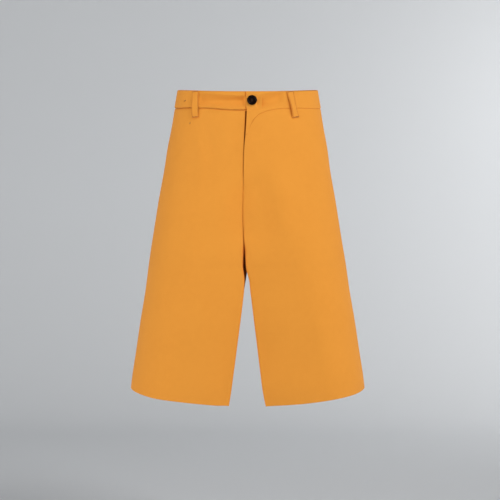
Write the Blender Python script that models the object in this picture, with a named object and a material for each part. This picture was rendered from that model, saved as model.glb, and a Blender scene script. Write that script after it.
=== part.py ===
"""Wide bermuda shorts, filled out as they hang on a wearer: four cloth panels, a waistband with a curved tab,
a fly, belt loops and a button.

Sizes are in millimetres and become metres where a mesh is made. X runs to the wearer's left, the front faces -Y,
and Z is up from the middle of the waistband at the side seams. Left and right are the wearer's.
"""

import math
from collections import namedtuple

import bmesh
import bpy
from mathutils import Matrix, Vector

MM = 0.001

# Walls, in millimetres
CLOTH = 1.4
HEM_WALL = 2.6
HEM_TURN = 30.0
BAND_WALL = 2.4
SEAM = 0.3

# Levels at the side seams
BAND_TOP = 17.3
BAND_SEAM = -17.4
HEM = -547.7
# The waist rises towards the back, less steeply behind the side seams
WAIST_SLOPE = 0.16
WAIST_FLATTENS = 0.0004
WAIST_SLOPE_ENDS = -168.0
HEM_SLOPE = 0.125
HEM_SLOPE_STARTS = -326.0
# The hem's outer corner is lifted a little, over this distance from the side seam
HEM_CORNER = 3.0
HEM_CORNER_WIDTH = 22.0
# In front the waist seam runs higher than the slant of the band's top, most at this distance from the middle
SEAM_LIFT = 3.4
SEAM_LIFT_AT = 84.0
SEAM_LIFT_REACH = 66.0
# From the side seam forward, the distance over which the lift sets in
SEAM_LIFT_STARTS = 40.0

# The crotch seam: a quarter ellipse in front and another behind, which meet at the top of the inseams
CROTCH = -318.0
CROTCH_CURVE_TOP = (-236.0, -205.0)
INSEAM_Y = 12.0

# The fold along each inner leg, in front and behind
INNER_FOLD = (8.0, 22.0)
# How much a bend draws grid points to it, in millimetres of length for each radian
BEND_PULL = 26.0

# The fly: the left side overlaps the right and stands proud of it
FLY_RAISE = 1.6
FLY_WIDTH = 32.0
FLY_FADE = 18.0
FLY_END = -178.0
BAND_PROUD = 0.8
UNDERLAP_INSET = 0.5
UNDERLAP_REACH = 29.0
UNDERLAP_SHARES = (0.25, 0.6, 1.0)
ZIP_INSET = 1.8
ZIP_WALL = 1.4
ZIP_SIDES = (-12.0, 16.0)
SHIELD_INSET = 3.6
SHIELD_SIDES = (-16.0, 34.0)
FLY_STRIP_ROWS = 8
FLY_STRIP_COLUMNS = 4

# The curved tab at the end of the left band
TAB_START = 3.5
TAB_WIDTH = 54.0
TAB_DROP = 57.0
TAB_POWER = 0.5
TAB_TIP = 44.0
TAB_FADES = -120.0

# Belt loops
LOOP_WIDTH = 13.2
LOOP_WALL = 1.8
LOOP_BELOW_SEAM = 16.0
LOOP_SEAT = 0.5
LOOP_STAND = 6.5
LOOP_EDGES = (-0.5, -0.4, 0.0, 0.4, 0.5)
LOOP_ROUNDING = 0.3
# The shares of a loop's length between which it may be turned, clear of its stitched ends
LOOP_TURNS = (0.1, 0.9)

# Button: its middle, and its profile as distances from the axis and heights above the cloth
BUTTON_X = 8.2
BUTTON_Z = -15.2
BUTTON_PROFILE = ((0, 0), (6.5, 0), (8.4, 0.9), (9.0, 2.0), (8.6, 3.0), (7.6, 3.3), (6.6, 2.7), (5.2, 2.2), (0, 2.1))
BUTTON_STEPS = 28

# Steps across a panel: over the crown, over the flat before the inner fold, round the fold, along the wall behind
CROWN_STEPS = 11
FLAT_STEPS = 2
FOLD_STEPS = 3
WALL_STEPS = 3
ACROSS = CROWN_STEPS + FLAT_STEPS + FOLD_STEPS + WALL_STEPS
FLAT_WIDTH = 36.0
# The depth of the groove between the legs at which the fold has all its own steps
FULL_FOLD = 40.0
BAND_ROWS = (0.0, 0.22, 0.78, 0.95, 1.0)
# Levels of a panel's rows on the body above the crotch curve, and on the leg
BODY_LEVELS = (-38, -60, -84, -110, -138, -168, -196)
LEG_LEVELS = (-325, -338, -356, -380, -410, -440, -470, -498)
# How finely a half section is measured before its points are spaced out
CROWN_SAMPLES = 24
LINE_SAMPLES = 6
FOLD_SAMPLES = 8

# The body of the garment: half its width, and how far it reaches in front and behind
Girth = namedtuple("Girth", "z half_width side_y front_y back_y")
GIRTHS = (
    Girth(40, 128.8, 0, -103, 103),
    Girth(17, 132.2, 0, -105, 105),
    Girth(-17, 138.0, 0, -107, 109),
    Girth(-58, 145.0, 2, -110, 117),
    Girth(-96, 152.7, 4, -113, 125),
    Girth(-134, 158.6, 6, -115, 132),
    Girth(-191, 169.1, 8, -117, 138),
    Girth(-248, 178.4, 10, -118, 136),
    Girth(-305, 187.4, 11, -117, 130),
    Girth(-362, 195.2, 12, -114, 124),
    Girth(-419, 204.8, 12, -110, 119),
    Girth(-476, 213.3, 12, -104, 114),
    Girth(-533, 222.0, 12, -99, 111),
    Girth(-600, 229.5, 12, -94, 108),
)

# Half the gap between the legs: at the fold in front, at the inseam, and at the fold behind
Gap = namedtuple("Gap", "z front inseam back")
GAPS = (
    Gap(-240, 0.15, 0.15, 0.15),
    Gap(-263, 0.3, 0.15, 1.5),
    Gap(-276, 0.9, 0.15, 2.6),
    Gap(-290, 2.1, 0.15, 4.0),
    Gap(-318, 3.9, 0.15, 6.0),
    Gap(-345, 4.1, 4.4, 8.0),
    Gap(-362, 5.0, 7.0, 10.0),
    Gap(-377, 7.3, 10.0, 13.0),
    Gap(-414, 12.6, 16.0, 19.0),
    Gap(-450, 17.4, 21.0, 24.0),
    Gap(-487, 21.9, 25.5, 29.0),
    Gap(-524, 26.8, 30.5, 34.0),
    Gap(-561, 31.8, 35.5, 39.0),
    Gap(-600, 36.5, 40.5, 44.0),
)

# How the cloth rounds from the side seam to its furthest line in front or behind (peak, power), and how much of
# that reach it loses again by the inner fold (fall)
FALL_POWER = 2.2
Crown = namedtuple("Crown", "z front_peak front_power front_fall back_peak back_power back_fall")
CROWNS = (
    Crown(40, 0, 2.5, 0, 0, 2.4, 0),
    Crown(-100, 2, 2.45, 0, 4, 2.3, 0),
    Crown(-150, 20, 2.4, 0.006, 30, 2.2, 0.01),
    Crown(-191, 40, 2.35, 0.014, 55, 2.15, 0.03),
    Crown(-250, 68, 2.25, 0.04, 80, 2.1, 0.08),
    Crown(-318, 92, 2.2, 0.08, 95, 2.1, 0.13),
    Crown(-400, 112, 2.15, 0.13, 110, 2.1, 0.17),
    Crown(-470, 128, 2.1, 0.18, 122, 2.1, 0.2),
    Crown(-600, 152, 2.05, 0.25, 140, 2.1, 0.24),
)

# The line of the fly and the front folds of both legs wander a little to the wearer's right
Drift = namedtuple("Drift", "z centre")
DRIFTS = (
    Drift(40, -3.1),
    Drift(-30, -3.3),
    Drift(-68, -4.7),
    Drift(-90, -6.1),
    Drift(-118, -7.2),
    Drift(-167, -7.9),
    Drift(-216, -9.0),
    Drift(-263, -8.0),
    Drift(-290, -6.8),
    Drift(-313, -5.3),
    Drift(-346, -1.8),
    Drift(-380, -1.0),
    Drift(-600, -1.2),
)

# Where each belt loop is sewn: its middle at the top and at the foot, and how far it is turned about its length
Loop = namedtuple("Loop", "name back x_top x_foot turn")
LOOPS = (
    Loop("belt_loop_front_right", False, -91.0, -91.5, 12.0),
    Loop("belt_loop_front_left", False, 79.5, 90.0, 20.0),
    Loop("belt_loop_back_right", True, -78.0, -80.0, -4.0),
    Loop("belt_loop_back_left", True, 78.0, 79.0, 3.0),
    Loop("belt_loop_centre_back", True, 0.0, 0.0, 0.0),
)
# A loop's side view: share of its length up from the foot, and share of its full stand-off
LOOP_BOW = ((0.0, 0.0), (0.06, 0.0), (0.2, 0.5), (0.36, 0.92), (0.6, 1.0), (0.82, 0.86), (0.94, 0.35), (1.0, 0.0))


def clamp(value, low=0.0, high=1.0):
    return max(low, min(high, value))


def ease(value):
    """A smooth step from 0 to 1."""
    share = clamp(value)
    return share * share * (3 - 2 * share)


def bump(value):
    """A soft bell, 1 at 0 and 0 from 1 on."""
    return (1 - clamp(abs(value)) ** 2) ** 2


def column(rows, name):
    """A smooth function of height through one column of a table, with no overshoot between its rows."""
    rows = sorted(rows, key=lambda row: row.z)
    heights = [row.z for row in rows]
    values = [getattr(row, name) for row in rows]
    steps = [
        (values[i + 1] - values[i]) / (heights[i + 1] - heights[i])
        for i in range(len(rows) - 1)
    ]
    slopes = [steps[0]]
    for before, after in zip(steps, steps[1:]):
        flat = before * after <= 0
        slopes.append(0.0 if flat else 2 * before * after / (before + after))
    slopes.append(steps[-1])

    def value(z):
        z = clamp(z, heights[0], heights[-1])
        i = 0
        while i < len(steps) - 1 and z > heights[i + 1]:
            i += 1
        span = heights[i + 1] - heights[i]
        t = (z - heights[i]) / span
        rise = ease(t)
        bend_low = t * (1 - t) ** 2 * span * slopes[i]
        bend_high = t * t * (t - 1) * span * slopes[i + 1]
        return values[i] + (values[i + 1] - values[i]) * rise + bend_low + bend_high

    return value


half_width = column(GIRTHS, "half_width")
side_y = column(GIRTHS, "side_y")
reach = (column(GIRTHS, "front_y"), column(GIRTHS, "back_y"))
fold_gap = (column(GAPS, "front"), column(GAPS, "back"))
inseam_gap = column(GAPS, "inseam")
peak = (column(CROWNS, "front_peak"), column(CROWNS, "back_peak"))
power = (column(CROWNS, "front_power"), column(CROWNS, "back_power"))
fall = (column(CROWNS, "front_fall"), column(CROWNS, "back_fall"))
drift = column(DRIFTS, "centre")


def crown_y(x, z, back):
    """How far forward or back the cloth lies at this distance from the middle."""
    top = peak[back](z)
    if x >= top:
        out = clamp((x - top) / (half_width(z) - top))
        height = (1 - out ** power[back](z)) ** (1 / power[back](z))
    else:
        inward = (top - x) / (top - fold_gap[back](z))
        height = 1 - fall[back](z) * max(0.0, inward) ** FALL_POWER
    return side_y(z) + (reach[back](z) - side_y(z)) * height


def middle_y(z, back):
    """Where a half section ends: on the middle seam, or below the crotch on the inseam."""
    if z <= CROTCH:
        return INSEAM_Y
    start = crown_y(0.0, z, back)
    down = clamp((CROTCH_CURVE_TOP[back] - z) / (CROTCH_CURVE_TOP[back] - CROTCH))
    return start + (INSEAM_Y - start) * (1 - math.sqrt(1 - down * down))


def half_section(z, back):
    """The cloth of the +X half from above, from the side seam to the middle seam or the inseam. It has CROWN_STEPS
    steps to a line near the fold, and then steps for the flat before the fold, the fold and the wall behind it."""
    inward = -1 if back else 1
    gap = max(SEAM / 2, fold_gap[back](z)) if z < CROTCH_CURVE_TOP[back] else SEAM / 2
    end_x = SEAM / 2 if z > CROTCH else max(SEAM / 2, inseam_gap(z))
    end_y = middle_y(z, back)
    depth = abs(end_y - crown_y(gap, z, back))
    radius = min(INNER_FOLD[back], depth)
    fold_x = gap + radius
    flat_x = fold_x + FLAT_WIDTH
    top = peak[back](z)
    half_seam = inward * SEAM / 2

    crown = []
    for i in range(CROWN_SAMPLES + 1):
        angle = i / CROWN_SAMPLES * math.pi / 2
        crown.append(top + (half_width(z) - top) * math.cos(angle) ** (2 / power[back](z)))
    crown = [x for x in crown if x > flat_x + 1.0]
    if top > flat_x:
        crown += [top + (flat_x - top) * i / LINE_SAMPLES for i in range(1, LINE_SAMPLES)]
    crown = [(x, crown_y(x, z, back)) for x in crown + [flat_x]]
    flat = [fold_x + FLAT_WIDTH * (1 - i / LINE_SAMPLES) for i in range(LINE_SAMPLES + 1)]
    flat = [(x, crown_y(x, z, back)) for x in flat]
    fold = []
    for i in range(FOLD_SAMPLES + 1):
        angle = i / FOLD_SAMPLES * math.pi / 2
        y = flat[-1][1] + inward * radius * (1 - math.cos(angle))
        fold.append((fold_x - radius * math.sin(angle), y))
    if z <= CROTCH:
        end_y -= half_seam
    wall = [fold[-1], (end_x, end_y)]

    crown_marks = measured(crown, BEND_PULL)
    points = spaced(crown, crown_marks, [crown_marks[-1] * i / CROWN_STEPS for i in range(CROWN_STEPS)])
    zone = flat + fold[1:] + wall[1:]
    marks = measured(zone)
    fold_starts, wall_starts = marks[len(flat) - 1], marks[len(flat) + len(fold) - 2]
    folded = [fold_starts * i / FLAT_STEPS for i in range(FLAT_STEPS)]
    folded += [fold_starts + (wall_starts - fold_starts) * i / FOLD_STEPS for i in range(FOLD_STEPS)]
    folded += [wall_starts + (marks[-1] - wall_starts) * i / WALL_STEPS for i in range(WALL_STEPS + 1)]
    share = clamp(depth / FULL_FOLD)
    count = len(folded) - 1
    points += spaced(zone, marks, [marks[-1] * i / count * (1 - share) + folded[i] * share for i in range(count + 1)])
    points[0] = (points[0][0], points[0][1] - half_seam)
    points[-1] = (end_x, end_y)
    return points


def measured(path, bend_pull=0.0):
    """Distances along a path. Each bend counts as bend_pull more for a radian, so that it draws points to it."""
    marks = [0.0]
    heading = None
    for before, after in zip(path, path[1:]):
        step_x, step_y = after[0] - before[0], after[1] - before[1]
        turn = 0.0
        length = math.hypot(step_x, step_y)
        if length > 1e-6:
            new_heading = math.atan2(step_y, step_x)
            if heading is not None:
                turn = abs(math.remainder(new_heading - heading, math.tau))
            heading = new_heading
        marks.append(marks[-1] + length + turn * bend_pull)
    return marks


def spaced(path, marks, wanted):
    """The points of a path at the wanted distances, in rising order."""
    points = []
    i = 0
    for distance in wanted:
        while i < len(path) - 2 and marks[i + 1] < distance:
            i += 1
        share = clamp((distance - marks[i]) / max(1e-9, marks[i + 1] - marks[i]))
        start, end = path[i], path[i + 1]
        points.append((start[0] + (end[0] - start[0]) * share, start[1] + (end[1] - start[1]) * share))
    return points


def tab_drop(x):
    """How far the left band's lower edge runs down below the waist seam, at a distance from the fly's edge."""
    share = clamp((x - TAB_START) / (TAB_WIDTH - TAB_START))
    return min(TAB_TIP, TAB_DROP * (1 - share ** TAB_POWER) ** (1 / TAB_POWER))


def slanted(level, x, y, tab=0.0):
    """The height at x, y of a row of points that crosses the side seam at level."""
    waist = clamp((level - WAIST_SLOPE_ENDS) / (BAND_SEAM - WAIST_SLOPE_ENDS))
    leg = clamp((HEM_SLOPE_STARTS - level) / (HEM_SLOPE_STARTS - HEM))
    height = level + waist * (WAIST_SLOPE * y - WAIST_FLATTENS * max(y, 0.0) ** 2)
    inward = half_width(level) - x
    height -= leg * (HEM_SLOPE * inward + HEM_CORNER * (1 - math.exp(-inward / HEM_CORNER_WIDTH)))
    tab_share = clamp((level - TAB_FADES) / (BAND_SEAM - TAB_FADES))
    seam_share = min(tab_share, clamp((BAND_TOP - level) / (BAND_TOP - BAND_SEAM)))
    height += seam_share * SEAM_LIFT * bump((x - SEAM_LIFT_AT) / SEAM_LIFT_REACH) * ease(-y / SEAM_LIFT_STARTS)
    return height - tab * tab_share * tab_drop(x)


def set_in_place(x, y, z, side, inset=0.0):
    """A point of the +X half moved to its side, with the fly line's drift. inset moves it into the garment."""
    forward = ease((INSEAM_Y - y) / (INSEAM_Y - reach[0](z)))
    centred = 1 - clamp(x / half_width(z)) ** 2
    outward = Vector((x / half_width(z) ** 2, y / reach[y > 0](z) ** 2, 0)).normalized()
    x -= outward.x * inset
    y -= outward.y * inset
    return Vector((side * x + drift(z) * forward * centred, y, z))


def fly_raise(x, z):
    """How far the left front stands proud of the right one."""
    return FLY_RAISE * ease((FLY_WIDTH + FLY_FADE - x) / FLY_FADE) * ease((z - FLY_END) / FLY_FADE)


def grid_point(level, place, side, back, tab=0.0, inset=0.0, raised=False):
    """The point of a row at one place across the panel, from 0 at the side seam to ACROSS at the middle."""
    x, y = half_section(level, back)[place]
    z = slanted(level, x, y, tab)
    x, y = half_section(z, back)[place]
    if raised:
        inset -= fly_raise(x, z)
    return set_in_place(x, y, z, side, inset)


def panel_levels():
    """Heights of a panel's rows at the side seam: down the body, round the crotch curve, down the leg."""
    levels = [BAND_SEAM - SEAM / 2, *BODY_LEVELS, CROTCH_CURVE_TOP[0]]
    curve = CROTCH_CURVE_TOP[0] - CROTCH
    levels += [CROTCH_CURVE_TOP[0] - curve * math.sin(math.radians(angle)) for angle in range(15, 91, 15)]
    levels += LEG_LEVELS
    levels += [HEM + HEM_TURN + 1, HEM + HEM_TURN, HEM + 10, HEM]
    return levels


def material(name, colour, roughness):
    made = bpy.data.materials.new(name)
    made.use_nodes = True
    shader = made.node_tree.nodes["Principled BSDF"]
    shader.inputs["Base Color"].default_value = (*colour, 1)
    shader.inputs["Roughness"].default_value = roughness
    shader.inputs["Metallic"].default_value = 0
    return made


def add_object(name, mesh, finish):
    made = bpy.data.objects.new(name, mesh)
    bpy.context.scene.collection.objects.link(made)
    mesh.materials.append(finish)
    mesh.shade_smooth()
    mesh.set_sharp_from_angle(angle=math.radians(40))
    return made


def cloth_piece(name, rows, walls, finish, flip, squared=None):
    """A closed wall whose outer face runs through rows of points. walls gives its thickness at each row, and
    squared may correct the outward direction at a point, so that an edge meets its neighbour squarely."""
    inner = []
    for i, row in enumerate(rows):
        inner_row = []
        for j, point in enumerate(row):
            down = rows[min(i + 1, len(rows) - 1)][j] - rows[max(i - 1, 0)][j]
            across = row[min(j + 1, len(row) - 1)] - row[max(j - 1, 0)]
            outward = (across.cross(down) if flip else down.cross(across)).normalized()
            if squared:
                outward = squared(i, j, outward).normalized()
            inner_row.append(point - outward * walls[i])
        inner.append(inner_row)
    mesh = bpy.data.meshes.new(name)
    build = bmesh.new()
    skins = [[[build.verts.new(point * MM) for point in row] for row in skin] for skin in (rows, inner)]

    def add_face(corners, turned=False):
        build.faces.new(corners[::-1] if flip != turned else corners)

    # Both skins are split along the same diagonals, so that the wall keeps its thickness
    for skin, turned in zip(skins, (False, True)):
        for upper, lower in zip(skin, skin[1:]):
            for a, b, c, d in zip(upper, lower, lower[1:], upper[1:]):
                add_face((a, b, c), turned)
                add_face((a, c, d), turned)
    edge, back_edge = (
        skin[0] + [row[-1] for row in skin[1:-1]] + skin[-1][::-1] + [row[0] for row in skin[-2:0:-1]]
        for skin in skins
    )
    for i in range(len(edge)):
        add_face((edge[i - 1], edge[i], back_edge[i], back_edge[i - 1]))
    build.to_mesh(mesh)
    build.free()
    return add_object(name, mesh, finish)


def make_panels(finish):
    """The four main panels. The hem's rows have the turned-up hem's wall."""
    levels = panel_levels()
    walls = [CLOTH if level > HEM + HEM_TURN + 0.5 else HEM_WALL for level in levels]
    for name, side, back in (
        ("front_left", 1, False),
        ("front_right", -1, False),
        ("back_left", 1, True),
        ("back_right", -1, True),
    ):

        def squared(i, j, outward):
            if j == 0 or (j == ACROSS and levels[i] <= CROTCH):
                outward.y = 0
            elif j == ACROSS:
                outward.x = side * min(0.0, side * outward.x)
            return outward

        overlaps = name == "front_left"
        rows = [
            [grid_point(level, i, side, back, float(overlaps), 0.0, overlaps) for i in range(ACROSS + 1)]
            for level in levels
        ]
        cloth_piece(name, rows, walls, finish, (side > 0) != back, squared)


def underlap_point(level, x, wanted_inset):
    """A point behind the left band, on the strip that runs on from the right one."""
    z = slanted(level, x, crown_y(x, level, False))
    return set_in_place(x, crown_y(x, z, False), z, 1, wanted_inset)


def make_waistband(finish):
    """Each half runs from the centre back to the centre front. The left one ends in the curved tab, and the
    right one in the underlap that carries the button's place behind it."""
    low, high = BAND_SEAM + SEAM / 2, BAND_TOP
    for name, side in (("waistband_left", 1), ("waistband_right", -1)):
        left = side > 0
        rows = []
        for share in BAND_ROWS:
            level = low + (high - low) * share
            proud = BAND_PROUD * ease((1.02 - share) / 0.08)
            row = []
            for i in range(ACROSS, 0, -1):
                row.append(grid_point(level, i, side, True, 0.0, -proud))
            for i in range(ACROSS):
                row.append(grid_point(level, i, side, False, left * (1 - share), -proud, left))
            if left:
                row.append(grid_point(level, ACROSS, side, False, 1 - share, -proud, True))
            else:
                behind = UNDERLAP_INSET + BAND_PROUD - proud
                row.append(grid_point(level, ACROSS, side, False, 0.0, behind))
                for part in UNDERLAP_SHARES:
                    row.append(underlap_point(level, UNDERLAP_REACH * part, behind))
            rows.append(row)

        def squared(i, j, outward):
            if j == 0 or (left and j == len(rows[i]) - 1):
                outward.x = 0
            return outward

        cloth_piece(name, rows, [BAND_WALL] * len(rows), finish, not left, squared)


def make_fly(zip_finish, cloth_finish):
    """The zip tape behind the opening and the shield behind that, both flat strips that follow the front."""
    for name, sides, inset, wall, finish in (
        ("zip", ZIP_SIDES, ZIP_INSET, ZIP_WALL, zip_finish),
        ("fly_shield", SHIELD_SIDES, SHIELD_INSET, CLOTH, cloth_finish),
    ):
        rows = []
        top = slanted(BAND_SEAM, 0, reach[0](BAND_SEAM)) - 1.0
        for step in range(FLY_STRIP_ROWS + 1):
            z = top + (FLY_END - top) * step / FLY_STRIP_ROWS
            row = []
            for part in range(FLY_STRIP_COLUMNS + 1):
                x = sides[0] + (sides[1] - sides[0]) * part / FLY_STRIP_COLUMNS
                point = set_in_place(abs(x), crown_y(abs(x), z, False), z, math.copysign(1, x), inset)
                row.append(point)
            rows.append(row)
        cloth_piece(name, rows, [wall] * len(rows), finish, False)


def surface_at(x, level, back, inset):
    """The point and outward direction of the cloth at this distance from the middle, on a slanted row."""
    side = math.copysign(1, x)
    z = slanted(level, abs(x), crown_y(abs(x), level, back))
    here = set_in_place(abs(x), crown_y(abs(x), z, back), z, side, inset)
    beside = set_in_place(abs(x) + 1, crown_y(abs(x) + 1, z, back), z, side, inset)
    above = set_in_place(abs(x), crown_y(abs(x), z + 1, back), z + 1, side, inset)
    outward = (beside - here).cross(above - here).normalized()
    return here, outward if outward.y * here.y > 0 else -outward


def make_belt_loops(finish):
    """Each loop is a strip sewn at the band's top and below the waist seam, and it stands off in between."""
    for loop in LOOPS:
        top, top_out = surface_at(loop.x_top, BAND_TOP - 1.5, loop.back, -BAND_PROUD)
        foot, foot_out = surface_at(loop.x_foot, BAND_SEAM - LOOP_BELOW_SEAM, loop.back, 0.0)
        up = (top - foot).normalized()
        outward = (top_out + foot_out).normalized()
        outward = (outward - up * outward.dot(up)).normalized()
        across = outward.cross(up).normalized()
        length = (top - foot).length
        twist = Matrix.Rotation(math.radians(loop.turn), 3, Vector((0, 0, 1)))
        rows = []
        for share, bow in LOOP_BOW:
            turned = twist if LOOP_TURNS[0] < share < LOOP_TURNS[1] else Matrix.Identity(3)
            row = []
            for edge in LOOP_EDGES:
                rounding = LOOP_ROUNDING if edge in (LOOP_EDGES[0], LOOP_EDGES[-1]) else 0.0
                offset = turned @ Vector((edge * LOOP_WIDTH, bow * (LOOP_STAND - LOOP_SEAT) - rounding, 0))
                row.append(Vector((offset.x, LOOP_SEAT + LOOP_WALL + offset.y, share * length)))
            rows.append(row)
        piece = cloth_piece(loop.name, rows, [LOOP_WALL] * len(rows), finish, False)
        placed = Matrix((across, outward, up)).transposed().to_4x4()
        placed.translation = foot * MM
        piece.matrix_world = placed


def make_button(finish):
    """A turned button with a raised rim, lying on the left end of the band."""
    mesh = bpy.data.meshes.new("button")
    build = bmesh.new()
    points = [build.verts.new(Vector((radius, 0, height)) * MM) for radius, height in BUTTON_PROFILE]
    edges = [build.edges.new(pair) for pair in zip(points, points[1:])]
    bmesh.ops.spin(
        build,
        geom=points + edges,
        cent=(0, 0, 0),
        axis=(0, 0, 1),
        angle=math.tau,
        steps=BUTTON_STEPS,
        use_merge=True,
    )
    bmesh.ops.remove_doubles(build, verts=build.verts, dist=1e-6)
    bmesh.ops.recalc_face_normals(build, faces=build.faces)
    build.to_mesh(mesh)
    build.free()
    made = add_object("button", mesh, finish)
    level = BUTTON_Z - WAIST_SLOPE * reach[0](BUTTON_Z)
    x = BUTTON_X - drift(BUTTON_Z)
    spot, outward = surface_at(x, level, False, -BAND_PROUD - FLY_RAISE)
    facing = outward.to_track_quat("Z", "Y").to_matrix().to_4x4()
    made.matrix_world = Matrix.Translation((spot + outward * SEAM) * MM) @ facing


def main():
    for old in list(bpy.data.objects):
        bpy.data.objects.remove(old)
    twill = material("orange_twill", (0.78, 0.32, 0.05), 0.85)
    resin = material("dark_resin", (0.012, 0.006, 0.004), 0.35)
    tape = material("zip_tape", (0.7, 0.3, 0.06), 0.7)
    make_panels(twill)
    make_waistband(twill)
    make_fly(tape, twill)
    make_belt_loops(twill)
    make_button(resin)


main()
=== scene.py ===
"""Wide bermuda shorts in bright orange cotton twill, filled out as they hang on a wearer.

Sizes are in millimetres and become metres where a mesh is made. X runs to the wearer's left, the front
faces -Y, and Z is up from the middle of the waistband at the side seams. Left and right are the wearer's.
"""

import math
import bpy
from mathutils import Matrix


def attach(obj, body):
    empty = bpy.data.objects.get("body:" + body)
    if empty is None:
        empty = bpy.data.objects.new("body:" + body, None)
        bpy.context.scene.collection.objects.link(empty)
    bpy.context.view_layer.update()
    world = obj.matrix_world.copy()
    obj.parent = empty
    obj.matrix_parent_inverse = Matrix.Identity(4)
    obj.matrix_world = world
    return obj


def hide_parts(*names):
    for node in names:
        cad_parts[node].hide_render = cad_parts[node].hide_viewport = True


bl_info = {
    "name": "Bermuda shorts",
    "version": (1, 0, 0),
    "blender": (4, 5, 0),
    "location": "3D View > Sidebar > Shorts",
    "description": "Makes the cloth, trims, sewing and studio of a pair of wide bermuda shorts",
    "category": "Object",
}

from collections import namedtuple

import bmesh
import bpy
import numpy as np
from mathutils import Matrix, Vector

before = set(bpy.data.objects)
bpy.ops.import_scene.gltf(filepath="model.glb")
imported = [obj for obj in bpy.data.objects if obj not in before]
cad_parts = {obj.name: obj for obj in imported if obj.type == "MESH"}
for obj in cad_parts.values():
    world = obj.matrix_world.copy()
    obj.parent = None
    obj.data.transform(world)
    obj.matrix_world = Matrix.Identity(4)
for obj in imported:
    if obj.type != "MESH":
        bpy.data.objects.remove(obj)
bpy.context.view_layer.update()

MM = 0.001
BODY = "root"

# ---------------------------------------------------------------- the garment's form
# It is the solids' form, but for what is finer than a sewn piece: the tab's curve, the waist seam's height,
# the line of the fly and the folds between the legs

BAND_TOP = 17.3
BAND_SEAM = -16.7
HEM = -547.7
HEM_TURN = 30.0
WAIST_SLOPE = 0.16
WAIST_FLATTENS = 0.0004
WAIST_SLOPE_ENDS = -168.0
HEM_SLOPE = 0.125
HEM_SLOPE_STARTS = -326.0
HEM_CORNER = 3.0
HEM_CORNER_WIDTH = 22.0
CROTCH = -318.0
CROTCH_CURVE_TOP = (-265.0, -205.0)
INSEAM_Y = 12.0
# In front the waist seam runs higher than the band's top does, most at this distance from the middle
SEAM_LIFT = 3.4
SEAM_LIFT_AT = 84.0
SEAM_LIFT_REACH = 66.0
SEAM_LIFT_STARTS = 40.0
INNER_FOLD = (5.5, 22.0)
BEND_PULL = 26.0
FLAT_WIDTH = 36.0
FULL_FOLD = 40.0
FALL_POWER = 2.2
TAB_START = 0.0
TAB_WIDTH = 66.0
TAB_DROP = 125.5
TAB_POWER = 0.4
TAB_TIP = 44.0
TAB_FADES = -120.0

# The body of the garment: half its width, and how far it reaches in front and behind
Girth = namedtuple("Girth", "z half_width side_y front_y back_y")
GIRTHS = (
    Girth(40, 128.8, 0, -103, 103),
    Girth(17, 132.2, 0, -105, 105),
    Girth(-17, 138.0, 0, -107, 109),
    Girth(-58, 145.0, 2, -110, 117),
    Girth(-96, 152.7, 4, -113, 125),
    Girth(-134, 158.6, 6, -115, 132),
    Girth(-191, 169.1, 8, -117, 138),
    Girth(-248, 178.4, 10, -118, 136),
    Girth(-305, 187.4, 11, -117, 130),
    Girth(-362, 195.2, 12, -114, 124),
    Girth(-419, 204.8, 12, -110, 119),
    Girth(-476, 213.3, 12, -104, 114),
    Girth(-533, 222.0, 12, -99, 111),
    Girth(-600, 229.5, 12, -94, 108),
)

# Half the gap between the legs: at the fold in front, at the inseam, and at the fold behind
Gap = namedtuple("Gap", "z front inseam back")
GAPS = (
    Gap(-240, 0.15, 0.15, 0.15),
    Gap(-276, 0.3, 0.15, 2.6),
    Gap(-290, 1.9, 0.15, 4.0),
    Gap(-318, 2.8, 0.15, 6.0),
    Gap(-331, 3.3, 1.6, 7.0),
    Gap(-345, 4.4, 3.8, 8.0),
    Gap(-362, 5.6, 7.0, 10.0),
    Gap(-377, 7.4, 10.0, 13.0),
    Gap(-414, 11.9, 16.0, 19.0),
    Gap(-450, 16.5, 21.0, 24.0),
    Gap(-487, 21.1, 25.5, 29.0),
    Gap(-524, 25.8, 30.5, 34.0),
    Gap(-561, 30.0, 35.5, 39.0),
    Gap(-600, 34.0, 40.5, 44.0),
)

# How the cloth rounds from the side seam to its furthest line in front or behind (peak, power), and how much
# of that reach it loses again by the inner fold (fall)
Crown = namedtuple("Crown", "z front_peak front_power front_fall back_peak back_power back_fall")
CROWNS = (
    Crown(40, 0, 2.5, 0, 0, 2.4, 0),
    Crown(-100, 2, 2.45, 0, 4, 2.3, 0),
    Crown(-150, 20, 2.4, 0.006, 30, 2.2, 0.01),
    Crown(-191, 40, 2.35, 0.014, 55, 2.15, 0.03),
    Crown(-250, 68, 2.25, 0.04, 80, 2.1, 0.08),
    Crown(-318, 92, 2.2, 0.08, 95, 2.1, 0.13),
    Crown(-400, 112, 2.15, 0.13, 110, 2.1, 0.17),
    Crown(-470, 128, 2.1, 0.18, 122, 2.1, 0.2),
    Crown(-600, 152, 2.05, 0.25, 140, 2.1, 0.24),
)

# The line of the fly and the front folds of both legs wander a little to the wearer's right
Drift = namedtuple("Drift", "z centre")
DRIFTS = (
    Drift(40, -3.1),
    Drift(-30, -3.3),
    Drift(-68, -4.7),
    Drift(-90, -6.1),
    Drift(-118, -7.2),
    Drift(-167, -7.9),
    Drift(-216, -9.0),
    Drift(-263, -8.0),
    Drift(-290, -6.3),
    Drift(-313, -6.2),
    Drift(-346, -1.1),
    Drift(-380, -0.6),
    Drift(-600, -1.8),
)

# ---------------------------------------------------------------- cloth detail

HEM_EXTRA = 1.2
BAND_WALL = 2.4
SHIELD_WALL = 1.4
TAPE_WALL = 0.8
# The width over which the cloth turns down to a seam
SEAM_TURN = 2.4
# The hem leans in over its last stretch
HEM_LEAN_HEIGHT = 42.0
HEM_LEAN = {"front_left": 3.4, "front_right": 1.6, "back_left": 2.0, "back_right": 2.4}
# The hem's lean and the drawing in of the side seams fade over this distance from a panel's edges
EDGE_REACH = 60.0
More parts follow.
